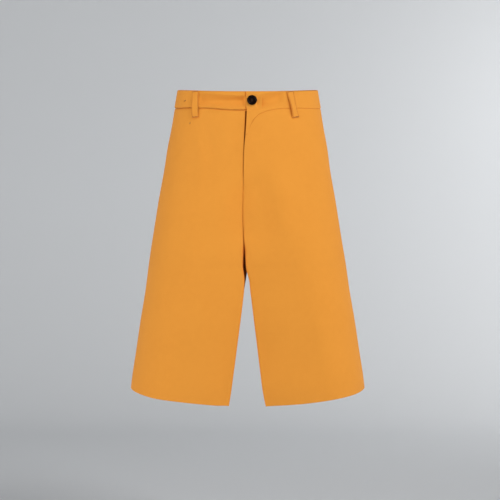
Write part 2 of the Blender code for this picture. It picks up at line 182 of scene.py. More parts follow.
# The waist seam's depth and rounding, as shares of an ordinary seam's: faint on the left, where it runs into
# the tab, and deep on the right
FAINT_SEAM = 0.85
DEEP_SEAM = 2.2
# The seams up the middle and inside the legs: the same shares of depth and of rounding
MIDDLE_SEAM = 1.9
MIDDLE_EDGE = 0.8
# The seat slopes outwards, so its top edge is let up by this much, or it would drop away from the band
SEAT_LET_UP = 0.35
# The fly: the left edge stands proud of the right one
FLY_RAISE = 1.9
FLY_RAISE_POWER = 1.5
FLY_REACH = 62.0
FLY_END = -178.0
FLY_FADE = 34.0
# The fly's edges round off a little: how deep, and over what width
FLY_ROUNDS = 0.5
FLY_ROUNDS_WIDTH = 1.6
# How far the right and left halves of the band stand proud in front, and both behind
BAND_PROUD = (1.3, 0.5)
BAND_PROUD_BEHIND = 0.3
BAND_PROUD_REACH = 70.0
# It stands proud no longer at its very top: the share of its depth where that ends, and the share it takes
BAND_FADES_BY = 1.03
BAND_FADES_OVER = 0.1
BAND_DEPTH = 35.0
# Its foot turns in by these shares of a seam's depth, on the right and on the left
BAND_FOOT_TURN = (1.6, 0.2)
# The waist seam shows faintly through the tab, this far above the seam's own line
SEAM_MARK = 0.9
SEAM_MARK_RISE = 2.2
SEAM_MARK_WIDTH = 2.2
SEAM_MARK_REACH = 34.0
SEAM_MARK_FADE = 10.0
UNDERLAP_REACH = 29.0
UNDERLAP_INSET = 0.8
# The right half of the band begins to sink behind the left this far from the fly's edge, over this width
UNDERLAP_STARTS = 4.0
UNDERLAP_SINKS = 5.0
# The zip's tape and the fly shield: from side to side, how far behind the front's face, and what they add in
# length because the cloth slopes
TAPE_SIDES = (-12.0, 16.0)
TAPE_INSET = 3.0
SHIELD_SIDES = (-16.0, 34.0)
SHIELD_INSET = 4.6
OPENING_ROWS = 40
OPENING_COLUMNS = 21
OPENING_BELOW_SEAM = 1.0
OPENING_EDGE = 0.3
# The chain runs along the tape between this column and the next, proud of it by this much
CHAIN_COLUMN = 9
CHAIN_LIFT = 0.5
# How far the side seams are drawn in
Drawn = namedtuple("Drawn", "z right left")
SIDE_DRAWN = (
    Drawn(17, 0.6, 0.6),
    Drawn(-60, 0.6, 1.0),
    Drawn(-110, 0.6, 2.2),
    Drawn(-150, 0.6, 3.6),
    Drawn(-270, 0.6, 4.8),
    Drawn(-310, 0.9, 3.2),
    Drawn(-400, 1.5, 1.8),
    Drawn(-548, 1.5, 1.0),
)
# Where the hem runs a little high or low: the middle of the place, how much, and over what half width
Wander = namedtuple("Wander", "panel x rise reach")
HEM_WANDERS = (
    Wander("front_left", 108, -1.5, 80),
    Wander("front_right", -208, 1.2, 42),
    Wander("front_right", -38, 1.2, 20),
)
HEM_WANDER_HEIGHT = 70.0
# How far each edge of the opening stands back from the middle line, which moves the cloth beside it too
SLIT_REACH = 14.0
Slit = namedtuple("Slit", "z right left")
SLITS = (
    Slit(0, 0.0, 0.5),
    Slit(-24, 0.0, 0.7),
    Slit(-34, 0.9, 1.9),
    Slit(-78, 0.7, 1.5),
    Slit(-98, 0.3, 0.7),
    Slit(-130, 0.0, 0.3),
    Slit(-178, 0.05, 0.3),
    Slit(-223, 0.1, 0.45),
    Slit(-259, 0.15, 0.8),
    Slit(-277, 0.15, 0.9),
    Slit(-300, 0.1, 0.3),
    Slit(-330, 0.0, 0.0),
)
# The turned-in edges of the seams, pressed flat inside
TURNING_STARTS = 0.9
TURNING = 11.0
TURNING_WALL = 0.7
TURNING_INSET = 0.2
TURNING_EDGE = 0.15
# They stop this far short of the hem and the waist seam, and run up behind the fly's end by this much
TURNING_CLEAR = 2.0
TURNING_LAPS = 6.0

# Soft troughs (negative depth) and ridges on the panels: from one end to the other, with their half width.
# Each widens and waves a little on its way, and fades towards its ends, the side seam and the inseam.
Crease = namedtuple("Crease", "x_top z_top x_foot z_foot width depth")
CREASES = {
    "front": (
        Crease(-89, -62, -85, -190, 8, 1.1),
        Crease(-72, -50, -60, -150, 10, -1.5),
        Crease(-40, -44, -34, -120, 12, 0.6),
        Crease(-24, -150, -26, -330, 22, -2.6),
        Crease(-120, -200, -150, -420, 26, -0.9),
        Crease(-84, -250, -96, -540, 26, 2.4),
        Crease(-48, -340, -58, -545, 18, -1.2),
        Crease(-188, -440, -200, -545, 16, -1.4),
        Crease(10, -96, 14, -330, 34, -5.2),
        Crease(-4, -150, 2, -290, 20, -4.4),
        Crease(18, -130, 30, -290, 20, -3.6),
        Crease(62, -120, 60, -300, 24, 2.6),
        Crease(100, -40, 118, -330, 34, 2.6),
        Crease(52, -300, 62, -545, 34, -3.2),
        Crease(140, -280, 168, -540, 26, 1.8),
        Crease(96, -400, 108, -546, 20, -1.0),
    ),
    "back": (
        Crease(40, -30, 34, -110, 10, -1.0),
        Crease(24, -212, 96, -252, 11, -2.5),
        Crease(34, -246, 120, -282, 13, 2.1),
        Crease(110, -330, 122, -520, 22, 2.3),
        Crease(64, -360, 60, -530, 20, -2.4),
        Crease(150, -260, 168, -470, 22, -1.7),
        Crease(-52, -28, -44, -120, 11, -1.1),
        Crease(-20, -206, -84, -250, 12, -2.4),
        Crease(-40, -238, -132, -272, 14, 2.0),
        Crease(-90, -350, -104, -530, 24, 2.5),
        Crease(-60, -330, -52, -540, 16, -1.9),
        Crease(-150, -400, -166, -540, 18, -2.0),
    ),
}
# The share of its half width that a crease starts with, and the share that it gains
CREASE_STARTS = 0.8
CREASE_GAINS = 0.6
CREASE_WAVE = 0.35
CREASE_WAVES = 4.3
CREASE_SETS_IN = 0.3
CREASE_DIES_OUT = 0.35
CREASE_FADE = 55.0

# Soft folds along the band: shares of the band's depth where the valley and the crest above it run at each
# end, and the shares of its length over which the fold sets in and dies out
Fold = namedtuple(
    "Fold", "band x_start valley_start crest_start x_end valley_end crest_end depth sets_in dies_out"
)
BAND_FOLDS = (
    Fold("waistband_right", -90, 0.38, 0.9, -3, 0.58, 0.8, 7.2, 0.08, 0.05),
    Fold("waistband_left", 14, 0.34, 0.80, 70, 0.72, 1.22, 6.8, 0.15, 0.25),
)

# Where each belt loop is sewn: its middle at the top and at the foot, how far it is turned about its length,
# and how far its middle stands off
Loop = namedtuple("Loop", "name back x_top x_foot turn stand")
LOOPS = (
    Loop("belt_loop_front_right", False, -92.0, -92.6, 12.0, 2.2),
    Loop("belt_loop_front_left", False, 78.6, 89.6, 21.0, 1.2),
    Loop("belt_loop_back_right", True, -78.0, -80.0, -4.0, 6.2),
    Loop("belt_loop_back_left", True, 78.0, 79.0, 3.0, 6.5),
    Loop("belt_loop_centre_back", True, 0.0, 0.0, 0.0, 6.5),
)
LOOP_WIDTH = 13.2
LOOP_WALL = 1.8
LOOP_EDGE = 0.55
LOOP_CROWN = 0.35
# The turn grows from the foot and is lost again towards the top, over these shares of the length
LOOP_TURN_GROWS = 0.2
LOOP_TURN_FADES = 0.5
LOOP_BELOW_TOP = 0.4
LOOP_BELOW_SEAM = 18.6
LOOP_SEAT = 0.5
Bow = namedtuple("Bow", "z stand")
LOOP_BOW = (
    Bow(0, 0),
    Bow(0.06, 0.02),
    Bow(0.2, 0.6),
    Bow(0.36, 1),
    Bow(0.6, 0.8),
    Bow(0.82, 0.4),
    Bow(0.94, 0.1),
    Bow(1, 0),
)

# The middle of the button, as seen from the front
BUTTON_X = 7.9
BUTTON_Z = -16.3
# The button's four holes, offset from its middle both ways
BUTTON_HOLES = 1.5
HOLE_RADIUS = 0.95
# From the middle of its back round the rim to the middle of its dished face
Turned = namedtuple("Turned", "radius height")
BUTTON_PROFILE = (
    Turned(0, 0),
    Turned(4, 0),
    Turned(6.6, 0.1),
    Turned(7.9, 0.55),
    Turned(8.7, 1.2),
    Turned(9, 1.9),
    Turned(8.95, 2.4),
    Turned(8.7, 2.85),
    Turned(8.2, 3.15),
    Turned(7.6, 3.25),
    Turned(7, 3.1),
    Turned(6.5, 2.75),
    Turned(6, 2.35),
    Turned(5.2, 2.1),
    Turned(3.4, 2),
    Turned(0, 1.98),
)
BUTTON_STANDS = 0.5
# Two level strands of thread join the holes: how far they lie in front of the button's back, and half the
# height of each
STRAND_STANDS = 2.05
STRAND_HALF = 0.45
# The buttonhole: where it ends on both sides of the button's middle, how far above and below that its rows
# lie, half an end bar's length, and how far behind the button's back they are
BUTTONHOLE = (-6.0, 9.4)
BUTTONHOLE_ROW = 1.05
BUTTONHOLE_BAR = 1.7
BUTTONHOLE_BEHIND = 0.42

# Small bars sewn through the cloth: where, how long and how far they lean
Tack = namedtuple("Tack", "grid x z length lean")
TACKS = (
    Tack("front_right", -105.2, -55.0, 3.2, 0.3),
    Tack("waistband_right", -115.2, -12.5, 3.2, 1.2),
)

# How far the middle of sewn thread stands off the cloth: in a row, in a bar and where it binds an edge
STITCH_LIFT = 0.12
BAR_LIFT = 0.15
BOUND_LIFT = 0.1
# The hem's rows: the overlocking above its turn, and the blind stitches below it, which just show outside.
# Both run between two shares of its length.
HEM_OVERLOCKED = 0.6
HEM_BLIND = 3.0
HEM_BLIND_LIFT = 0.02
HEM_SEWN = (0.02, 0.98)
# Rows of stitches. A turn of 90 degrees lays each stitch across its row.
Stitch = namedtuple("Stitch", "pitch length thread turn unevenness seed")
STITCHES = {
    "overlocking": Stitch(2.7, 3.4, 0.42, 52, 0.12, 5),
    "hem_stitches": Stitch(8.3, 0.7, 0.3, 0, 0.2, 11),
    "band_stitches": Stitch(2.9, 2.3, 0.45, 0, 0.05, 3),
    "loop_stitches": Stitch(2.7, 2.2, 0.36, 0, 0.05, 17),
    "loop_bars": Stitch(0.5, 1.9, 0.45, 90, 0.08, 19),
    "pocket_tacks": Stitch(0.5, 2.1, 0.5, 90, 0.1, 23),
    "button_thread": Stitch(0.3, 3.4, 0.42, 90, 0.02, 29),
    "buttonhole": Stitch(0.45, 1.7, 0.42, 90, 0.05, 31),
    "zip_chain": Stitch(1.2, 4.6, 1.05, 90, 0.0, 37),
}

# The flat size of each piece's cut in metres, with its turnings, and what it hangs from
Cut = namedtuple("Cut", "width length area hangs_from")

# Steps across a panel: over the crown, over the flat before the inner fold, round the fold and along the
# wall behind it. The samples measure its curve before the steps are laid along it.
CROWN_SAMPLES = 97
CROWN_STEPS = 44
FLAT_SAMPLES = 13
FLAT_STEPS = 9
FOLD_SAMPLES = 19
FOLD_STEPS = 9
WALL_STEPS = 10
# An extra column this far from each edge keeps the turned edge narrow
EDGE_COLUMN = 1.0
# A panel's rows lie close together below the waist seam, at the hem's turn and above the hem
ROW_STEP = 4.5
ROWS_BELOW_SEAM = (0, 1.0, 2.4, 5.0)
ROWS_AT_TURN = (0.9, -0.3)
ROWS_ABOVE_HEM = (8.0, 3.0, 1.1, 0)
# Shares of the band's depth, of a belt loop's length and of its width where points lie
BAND_ROWS = np.array([0, 0.03, 0.07, 0.12, *np.linspace(0.16, 0.9, 42), 0.93, 0.965, 1.0])
LOOP_ROWS = np.array([0, 0.02, 0.05, *np.linspace(0.09, 0.91, 30), 0.95, 0.98, 1])
LOOP_COLUMNS = np.array([-0.5, -0.47, -0.4, -0.25, 0, 0.25, 0.4, 0.47, 0.5])
SECTION_HEIGHTS = np.arange(-615.0, 48.0, 1.5)
# Further than any place on the garment
FAR = 999.0

# In metres, as the studio is
BACKDROP_SIDE = 4.0
BACKDROP_FRONT = -3.6
BACKDROP_BACK = 2.9
FLOOR = -0.95
BACKDROP_TOP = 3.4
BACKDROP_BEND = 0.9
BEND_STEPS = 16
ROOM_COLOUR = "#F2F4F6"
GARMENT_MIDDLE = (0.0, 0.0, -0.25)
# A faint light that lifts the backdrop on the wearer's left
WASH_POWER = 9.5
WASH_AIM = (1.5, 2.9, -0.1)
CAMERA_AWAY = 2.2
CAMERA_X = 0.0044
CAMERA_Z = -0.2864
SENSOR = 36.0
# How wide the picture is at the garment's middle
PICTURE_SPAN = 0.95


def ease(value):
    """A smooth step from 0 to 1."""
    share = np.clip(value, 0.0, 1.0)
    return share * share * (3 - 2 * share)


def bump(value):
    """A soft bell, 1 at 0 and 0 from 1 on."""
    return (1 - np.clip(np.abs(value), 0, 1) ** 2) ** 2


def column(rows, name):
    """A smooth function of height through one column of a table, with no overshoot between its rows."""
    rows = sorted(rows, key=lambda row: row.z)
    heights = np.array([row.z for row in rows], float)
    values = np.array([getattr(row, name) for row in rows], float)
    steps = np.diff(values) / np.diff(heights)
    before, after = steps[:-1], steps[1:]
    together = np.where(before * after > 0, before + after, 1.0)
    middle = np.where(before * after > 0, 2 * before * after / together, 0.0)
    slopes = np.concatenate([steps[:1], middle, steps[-1:]])

    def value(z):
        z = np.clip(z, heights[0], heights[-1])
        i = np.clip(np.searchsorted(heights, z) - 1, 0, len(steps) - 1)
        span = heights[i + 1] - heights[i]
        t = (z - heights[i]) / span
        bend_low = t * (1 - t) ** 2 * span * slopes[i]
        bend_high = t * t * (t - 1) * span * slopes[i + 1]
        return values[i] + (values[i + 1] - values[i]) * ease(t) + bend_low + bend_high

    return value


def columns(rows, *names):
    return [column(rows, name) for name in names]


half_width, side_y = columns(GIRTHS, "half_width", "side_y")
# Each of these is a pair: in front, then behind
reach = columns(GIRTHS, "front_y", "back_y")
fold_gap = columns(GAPS, "front", "back")
peak = columns(CROWNS, "front_peak", "back_peak")
power = columns(CROWNS, "front_power", "back_power")
fall = columns(CROWNS, "front_fall", "back_fall")
inseam_gap = column(GAPS, "inseam")
drift = column(DRIFTS, "centre")
loop_bow = column(LOOP_BOW, "stand")
# And each of these: on the right, then on the left
slit = columns(SLITS, "right", "left")
side_drawn = columns(SIDE_DRAWN, "right", "left")


def crown_y(x, z, back):
    """How far forward or back the cloth lies at this distance from the middle."""
    top = peak[back](z)
    bend = power[back](z)
    out = np.clip((x - top) / (half_width(z) - top), 0, 1)
    inward = np.clip((top - x) / np.maximum(1e-6, top - fold_gap[back](z)), 0, None)
    height = np.where(x >= top, (1 - out ** bend) ** (1 / bend), 1 - fall[back](z) * inward ** FALL_POWER)
    return side_y(z) + (reach[back](z) - side_y(z)) * height


def middle_y(z, back):
    """Where a half section ends: on the middle seam, or below the crotch on the inseam."""
    if z <= CROTCH:
        return INSEAM_Y
    start = crown_y(0.0, z, back)
    down = np.clip((CROTCH_CURVE_TOP[back] - z) / (CROTCH_CURVE_TOP[back] - CROTCH), 0, 1)
    return start + (INSEAM_Y - start) * (1 - math.sqrt(1 - down * down))


def measured(path, bend_pull=0.0):
    """Distances along a path. Each bend counts as bend_pull more for a radian, so that it draws points."""
    steps = np.diff(path, axis=0)
    lengths = np.hypot(steps[:, 0], steps[:, 1])
    headings = np.unwrap(np.arctan2(steps[:, 1], steps[:, 0]))
    turns = np.concatenate([[0.0], np.abs(np.diff(headings))]) * (lengths > 1e-6)
    return np.concatenate([[0.0], np.cumsum(lengths + turns * bend_pull)])


def spaced(path, marks, wanted):
    return np.stack([np.interp(wanted, marks, path[:, 0]), np.interp(wanted, marks, path[:, 1])], 1)


def half_section(z, back):
    """The cloth of the +X half from above, from the side seam to the middle seam or the inseam."""
    inward = -1 if back else 1
    gap = max(0.0, float(fold_gap[back](z))) if z < CROTCH_CURVE_TOP[back] else 0.0
    end_x = 0.0 if z > CROTCH else float(inseam_gap(z))
    end_y = middle_y(z, back)
    depth = abs(end_y - crown_y(gap, z, back))
    radius = min(INNER_FOLD[back], depth)
    fold_x = gap + radius
    flat_x = fold_x + FLAT_WIDTH
    top = float(peak[back](z))

    angles = np.linspace(0, math.pi / 2, CROWN_SAMPLES)
    crown_x = top + (half_width(z) - top) * np.cos(angles) ** (2 / power[back](z))
    crown_x = crown_x[crown_x > flat_x + 1.0]
    if top > flat_x:
        crown_x = np.concatenate([crown_x, np.linspace(top, flat_x, FLAT_SAMPLES)[1:-1]])
    crown_x = np.append(crown_x, flat_x)
    crown = np.stack([crown_x, crown_y(crown_x, z, back)], 1)
    flat_xs = np.linspace(flat_x, fold_x, FLAT_SAMPLES)
    flat = np.stack([flat_xs, crown_y(flat_xs, z, back)], 1)
    angles = np.linspace(0, math.pi / 2, FOLD_SAMPLES)[1:]
    fold_y = flat[-1, 1] + inward * radius * (1 - np.cos(angles))
    fold = np.stack([fold_x - radius * np.sin(angles), fold_y], 1)
    zone = np.concatenate([flat, fold, [[end_x, end_y]]])

    crown_marks = measured(crown, BEND_PULL)
    points = spaced(crown, crown_marks, crown_marks[-1] * np.arange(CROWN_STEPS) / CROWN_STEPS)
    marks = measured(zone)
    fold_starts, wall_starts = marks[len(flat) - 1], marks[len(flat) + len(fold) - 1]
    folded = np.concatenate([
        fold_starts * np.arange(FLAT_STEPS) / FLAT_STEPS,
        fold_starts + (wall_starts - fold_starts) * np.arange(FOLD_STEPS) / FOLD_STEPS,
        wall_starts + (marks[-1] - wall_starts) * np.arange(WALL_STEPS + 1) / WALL_STEPS,
    ])
    share = np.clip(depth / FULL_FOLD, 0, 1)
    even = marks[-1] * np.linspace(0, 1, len(folded))
    points = np.concatenate([points, spaced(zone, marks, even * (1 - share) + folded * share)])
    points[-1] = (end_x, end_y)
    first, last = points[1] - points[0], points[-2] - points[-1]
    near_first = points[0] + first * EDGE_COLUMN / max(np.hypot(*first), EDGE_COLUMN * 1.5)
    near_last = points[-1] + last * min(0.5, EDGE_COLUMN / max(np.hypot(*last), 1e-6))
    return np.concatenate([points[:1], [near_first], points[1:-1], [near_last], points[-1:]])


SECTIONS = [np.array([half_section(z, back) for z in SECTION_HEIGHTS]) for back in (False, True)]
ACROSS = SECTIONS[0].shape[1]


def section_at(z, back):
    """The half section's points at heights z, an array with one column for each place across."""
    places = SECTIONS[back].transpose(2, 1, 0)
    return [
        np.stack([np.interp(z[:, j], SECTION_HEIGHTS, place[j]) for j in range(ACROSS)], 1)
        for place in places
    ]


def tab_drop(x):
    """How far the left band's lower edge runs down below the waist seam, at x from the fly's edge."""
    share = np.clip((x - TAB_START) / (TAB_WIDTH - TAB_START), 0, 1)
    return np.minimum(TAB_TIP, TAB_DROP * (1 - share ** TAB_POWER) ** (1 / TAB_POWER))


def slanted(level, x, y, tab=0.0):
    """The height at x, y of a row of points that crosses the side seam at level."""
    waist = np.clip((level - WAIST_SLOPE_ENDS) / (BAND_SEAM - WAIST_SLOPE_ENDS), 0, None)
    waist = np.minimum(waist, 1.0)
    leg = np.clip((HEM_SLOPE_STARTS - level) / (HEM_SLOPE_STARTS - HEM), 0, 1)
    height = level + waist * (WAIST_SLOPE * y - WAIST_FLATTENS * np.maximum(y, 0) ** 2)
    inward = half_width(level) - x
    height = height - leg * (HEM_SLOPE * inward + HEM_CORNER * (1 - np.exp(-inward / HEM_CORNER_WIDTH)))
    tab_share = np.clip((level - TAB_FADES) / (BAND_SEAM - TAB_FADES), 0, 1)
    lift_share = np.minimum(tab_share, np.clip((BAND_TOP - level) / (BAND_TOP - BAND_SEAM), 0, 1))
    lift = SEAM_LIFT * bump((x - SEAM_LIFT_AT) / SEAM_LIFT_REACH) * ease(-y / SEAM_LIFT_STARTS)
    return height + lift_share * lift - tab * tab_share * tab_drop(x)


def set_in_place(x, y, z, side):
    """Points of the +X half moved to their side, with the fly line's drift."""
    forward = ease((INSEAM_Y - y) / (INSEAM_Y - reach[0](z)))
    centred = 1 - np.clip(x / half_width(z), 0, 1) ** 2
    return np.stack([side * x + drift(z) * forward * centred, y, z], -1)


def rows_of(levels, side, back, tab=0.0):
    """Rows of points on the garment's form, from the side seam to the middle, and each point's distance x
    from the middle plane before the drift."""
    levels = np.asarray(levels, float)[:, None] + np.zeros((1, ACROSS))
    x, y = section_at(levels, back)
    z = slanted(levels, x, y, np.asarray(tab, float).reshape(-1, 1))
    x, y = section_at(z, back)
    return set_in_place(x, y, z, side), x


def outward_of(points, flip):
    """The outward direction at each point of a grid of points."""
    down = np.gradient(points, axis=0)
    across = np.gradient(points, axis=1)
    out = np.cross(across, down) if flip else np.cross(down, across)
    return out / np.maximum(1e-9, np.linalg.norm(out, axis=2, keepdims=True))


def lengths_across(points):
    """The distance along each row from its first point."""
    steps = np.linalg.norm(np.diff(points, axis=1), axis=2)
    return np.concatenate([np.zeros((len(points), 1)), np.cumsum(steps, axis=1)], 1)


def finish_piece(piece, body, replaces=()):
    """Puts a finished piece on its body, and hides the solids it stands for."""
    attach(piece, body)
    if replaces:
        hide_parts(*replaces)
    return piece


def add_object(name, data, finish=None):
    """An object in the scene, smooth and with its finish if one is given."""
    made = bpy.data.objects.new(name, data)
    bpy.context.scene.collection.objects.link(made)
    if finish:
        data.materials.append(finish)
        data.shade_smooth()
    return made


def settle(made):
    """Makes what an object's modifiers give into its own mesh."""
    bpy.context.view_layer.update()
    mesh = bpy.data.meshes.new_from_object(made.evaluated_get(bpy.context.evaluated_depsgraph_get()))
    made.modifiers.clear()
    made.data = mesh
    return mesh


def wall_piece(name, outer, walls, finish, flip, edge=0.5, squared=None, first_row=1.0, last_column=1.0):
    """A closed cloth wall. Its outer face runs through a grid of points and its borders are rounded to edge,
    the first row's and the last column's to a share of it. The map named cloth gives each point's place on
    the cut cloth in metres: across, then down."""
    out = outward_of(outer, flip)
    if squared is not None:
        out = squared(out)
        out = out / np.maximum(1e-9, np.linalg.norm(out, axis=2, keepdims=True))
    walls = np.broadcast_to(np.asarray(walls, float), outer.shape[:2])
    inner = outer - out * walls[:, :, None]
    count, width = outer.shape[:2]
    across = lengths_across(outer)
    middle = across[:, -1:] / 2
    down = np.cumsum(np.concatenate([[0.0], np.linalg.norm(np.diff(outer[:, width // 2], axis=0), axis=1)]))
    cloth = np.stack([across - middle, np.broadcast_to(-down[:, None], across.shape)], -1) * MM

    index = np.arange(count * width).reshape(count, width)
    a, b, c, d = index[:-1, :-1], index[1:, :-1], index[1:, 1:], index[:-1, 1:]
    quads = np.stack([a, b, c, d], -1).reshape(-1, 4)
    far = quads[:, ::-1] + count * width
    rim = np.concatenate([index[0], index[1:-1, -1], index[-1, ::-1], index[-2:0:-1, 0]])
    before = np.roll(rim, 1)
    strip = np.stack([before, rim, rim + count * width, before + count * width], -1)
    faces = np.concatenate([quads, far, strip])
    if flip:
        faces = faces[:, ::-1]
    mesh = bpy.data.meshes.new(name)
    points = np.concatenate([outer.reshape(-1, 3), inner.reshape(-1, 3)]) * MM
    mesh.from_pydata(points.tolist(), [], faces.tolist())
    where = np.concatenate([cloth.reshape(-1, 2)] * 2)
    corners = np.zeros(len(mesh.loops), int)
    mesh.loops.foreach_get("vertex_index", corners)
    mesh.uv_layers.new(name="cloth").data.foreach_set("uv", where[corners].ravel())

    shares = np.ones(len(rim))
    shares[1:width] = first_row
    shares[width:width + count - 1] = last_column
    rounding = {}
    for skin in (0, count * width):
        for start, end, share in zip((before + skin).tolist(), (rim + skin).tolist(), shares):
            rounding[(min(start, end), max(start, end))] = share
    ends = np.zeros(len(mesh.edges) * 2, int)
    mesh.edges.foreach_get("vertices", ends)
    weights = np.array([rounding.get((min(pair), max(pair)), 0.0) for pair in ends.reshape(-1, 2).tolist()])
    weights /= weights.max()
    mesh.attributes.new("bevel_weight_edge", "FLOAT", "EDGE").data.foreach_set("value", weights)
    made = add_object(name, mesh, finish)
    rounded = made.modifiers.new("turned edges", "BEVEL")
    rounded.limit_method = "WEIGHT"
    rounded.width = edge * shares.max() * MM
    rounded.segments = 3
    rounded.use_clamp_overlap = False
    return made


# ---------------------------------------------------------------- materials


# A wave's bands repeat every pi / 10 of its own units
WAVE_BAND = math.pi / 10
TWILL_TURN = -27
THREAD_PLY = 0.6
TAPE_RIB = 0.7

Polish = namedtuple("Polish", "roughness ior specular grain relief")
# Cast polyester resin, turned and polished: a hard gloss over near-black, dulled a little by handling
RESIN = Polish(0.32, 1.5, 0.08, 4.0, 0.02)
# Nylon coil, dyed to match the tape and a little shiny
NYLON = Polish(0.5, 1.53, 0.1, 0.8, 0.03)


def linear(hex_colour):
    """An sRGB hex colour as linear red, green and blue."""
    parts = [int(hex_colour[i:i + 2], 16) / 255 for i in (1, 3, 5)]
    return tuple(part / 12.92 if part <= 0.04045 else ((part + 0.055) / 1.055) ** 2.4 for part in parts)


def add_node(tree, kind, inputs=None, **settings):
    """Adds a node, sets what it is told and links the sockets that its inputs name."""
    node = tree.nodes.new(kind)
    for name, value in settings.items():
        setattr(node, name, value)
    for name, value in (inputs or {}).items():
        if isinstance(value, bpy.types.NodeSocket):
            tree.links.new(value, node.inputs[name])
        else:
            node.inputs[name].default_value = value
    return node


def material(name, surface, *values):
    """The material of this name, made the first time it is asked for. Its surface is a function that adds
    nodes to the material's tree and returns the shader's inputs."""
    made = bpy.data.materials.get(name)
    if made is None:
        made = bpy.data.materials.new(name)
        made.use_nodes = True
        tree = made.node_tree
        tree.nodes.clear()
        shader = add_node(tree, "ShaderNodeBsdfPrincipled", surface(tree, *values))
        add_node(tree, "ShaderNodeOutputMaterial", {"Surface": shader.outputs["BSDF"]})
    return made


def follow(tree, pattern, colour, shades, strength, relief):
    """The shader's inputs for a colour and a relief that follow a pattern. The shades are the shares of the
    colour where the pattern is low and where it is high."""
    low, high = ((*(part * shade for part in linear(colour)), 1) for shade in shades)
    value = pattern.outputs["Fac"]
    tint = add_node(tree, "ShaderNodeMix", {"Factor": value, "A": low, "B": high}, data_type="RGBA")
    bumped = add_node(tree, "ShaderNodeBump", {"Height": value, "Strength": strength, "Distance": relief})
    return {"Base Color": tint.outputs["Result"], "Normal": bumped.outputs["Normal"]}


def twill(tree, colour, deep, wale, relief):
    """Cotton twill, piece-dyed and pressed: matt, with fine diagonal wales, a faint nap that catches light
    at the edges, and dye that takes a little unevenly. The wales' furrows are darkened towards deep, the
    shade colour, as painted shade. The wales are drawn at wale, about twice a real twill's 0.45 mm, so that
    they show in a near view."""
    place = add_node(tree, "ShaderNodeUVMap", uv_map="cloth").outputs["UV"]
    turned = add_node(
        tree, "ShaderNodeMapping", {"Vector": place, "Rotation": (0, 0, math.radians(TWILL_TURN))}
    )
    wales = add_node(
        tree, "ShaderNodeTexWave",
        {"Vector": turned.outputs["Vector"], "Scale": WAVE_BAND / wale, "Distortion": 0.6, "Detail": 1.0,
         "Detail Scale": 1.5},
        wave_type="BANDS", bands_direction="X", wave_profile="SIN",
    )
    # Yarns are a few wales long and about two across
    yarn_map = add_node(
        tree, "ShaderNodeMapping", {"Vector": place, "Scale": (1 / (2.2 * wale), 1 / (9 * wale), 1)}
    )
    yarns = add_node(
        tree, "ShaderNodeTexNoise",
        {"Vector": yarn_map.outputs["Vector"], "Scale": 1.0, "Detail": 2.0, "Roughness": 0.6},
        noise_dimensions="2D",
    )
    # Dye and pressing vary over about 70 mm, and again over about 12 mm
    spot = add_node(tree, "ShaderNodeTexCoord").outputs["Object"]
    broad, fine = (
        add_node(
            tree, "ShaderNodeTexNoise",
            {"Vector": spot, "Scale": scale, "Detail": detail, "Roughness": roughness},
        )
        for scale, detail, roughness in ((14.0, 1.5, 0.5), (85.0, 3.0, 0.6))
    )
    blend = add_node(
        tree, "ShaderNodeMath", {0: broad.outputs["Fac"], 1: fine.outputs["Fac"]}, operation="MULTIPLY"
    )
    shade = (*linear(deep), 1)
    colours = (*linear(colour), 1)
    # The colour goes towards the shade colour at random where the dye took unevenly, and in the wales'
    # furrows as painted shade
    for value, low, high, at_low, at_high in (
        (blend.outputs[0], 0.12, 0.42, 0.0, 0.1),
        (wales.outputs["Fac"], 0.0, 1.0, 0.18, 0.0),
    ):
        share = add_node(
            tree, "ShaderNodeMapRange",
            {"Value": value, "From Min": low, "From Max": high, "To Min": at_low, "To Max": at_high},
        )
        dye_and_furrow_shade = {"Factor": share.outputs["Result"], "A": colours, "B": shade}
        colours = add_node(tree, "ShaderNodeMix", dye_and_furrow_shade, data_type="RGBA").outputs["Result"]
    height = add_node(
        tree, "ShaderNodeMath", {0: yarns.outputs["Fac"], 1: 0.7, 2: wales.outputs["Fac"]},
        operation="MULTIPLY_ADD",
    )
    bumped = add_node(
        tree, "ShaderNodeBump", {"Height": height.outputs[0], "Strength": 0.55, "Distance": relief}
    )
    return {
        "Base Color": colours, "Normal": bumped.outputs["Normal"], "Roughness": 0.84,
        "Specular IOR Level": 0.12, "Sheen Weight": 0.06, "Sheen Roughness": 0.45,
        "Sheen Tint": (1.0, 0.86, 0.66, 1),
    }


def polished(tree, colour, polish):
    """A hard plain finish with fine unevenness."""
    spot = add_node(tree, "ShaderNodeTexCoord").outputs["Object"]
    noise = add_node(
        tree, "ShaderNodeTexNoise", {"Vector": spot, "Scale": 1 / (polish.grain * MM), "Detail": 2.0}
    )
    return {
        **follow(tree, noise, colour, (1, 0.82), 0.4, polish.relief * MM), "Roughness": polish.roughness,
        "IOR": polish.ior, "Specular IOR Level": polish.specular,
    }


def spun_thread(tree, colour):
    """Spun polyester sewing thread: two plies twisted together, softly shiny."""
    spot = add_node(tree, "ShaderNodeTexCoord").outputs["Object"]
    plies = add_node(
        tree, "ShaderNodeTexWave",
        {"Vector": spot, "Scale": WAVE_BAND / (THREAD_PLY * MM), "Distortion": 1.5, "Detail": 1.0},
        wave_type="BANDS", bands_direction="DIAGONAL",
    )
    return {
        **follow(tree, plies, colour, (1, 0.8), 0.4, 0.1 * MM), "Roughness": 0.55, "Specular IOR Level": 0.4,
        "Sheen Weight": 0.15,
    }


def woven_tape(tree, colour):
    """Polyester zip tape, woven in flat filament yarn with fine ribs along it: matt, with painted soft shade
    between the ribs.
    """
    place = add_node(tree, "ShaderNodeUVMap", uv_map="cloth").outputs["UV"]
    ribs = add_node(
        tree, "ShaderNodeTexWave",
        {"Vector": place, "Scale": WAVE_BAND / (TAPE_RIB * MM), "Distortion": 0.4, "Detail": 1.0},
        wave_type="BANDS", bands_direction="X",
    )
    return {
        **follow(tree, ribs, colour, (0.75, 1), 0.5, 0.15 * MM), "Roughness": 0.8,
        "Specular IOR Level": 0.06, "Sheen Weight": 0.05,
    }


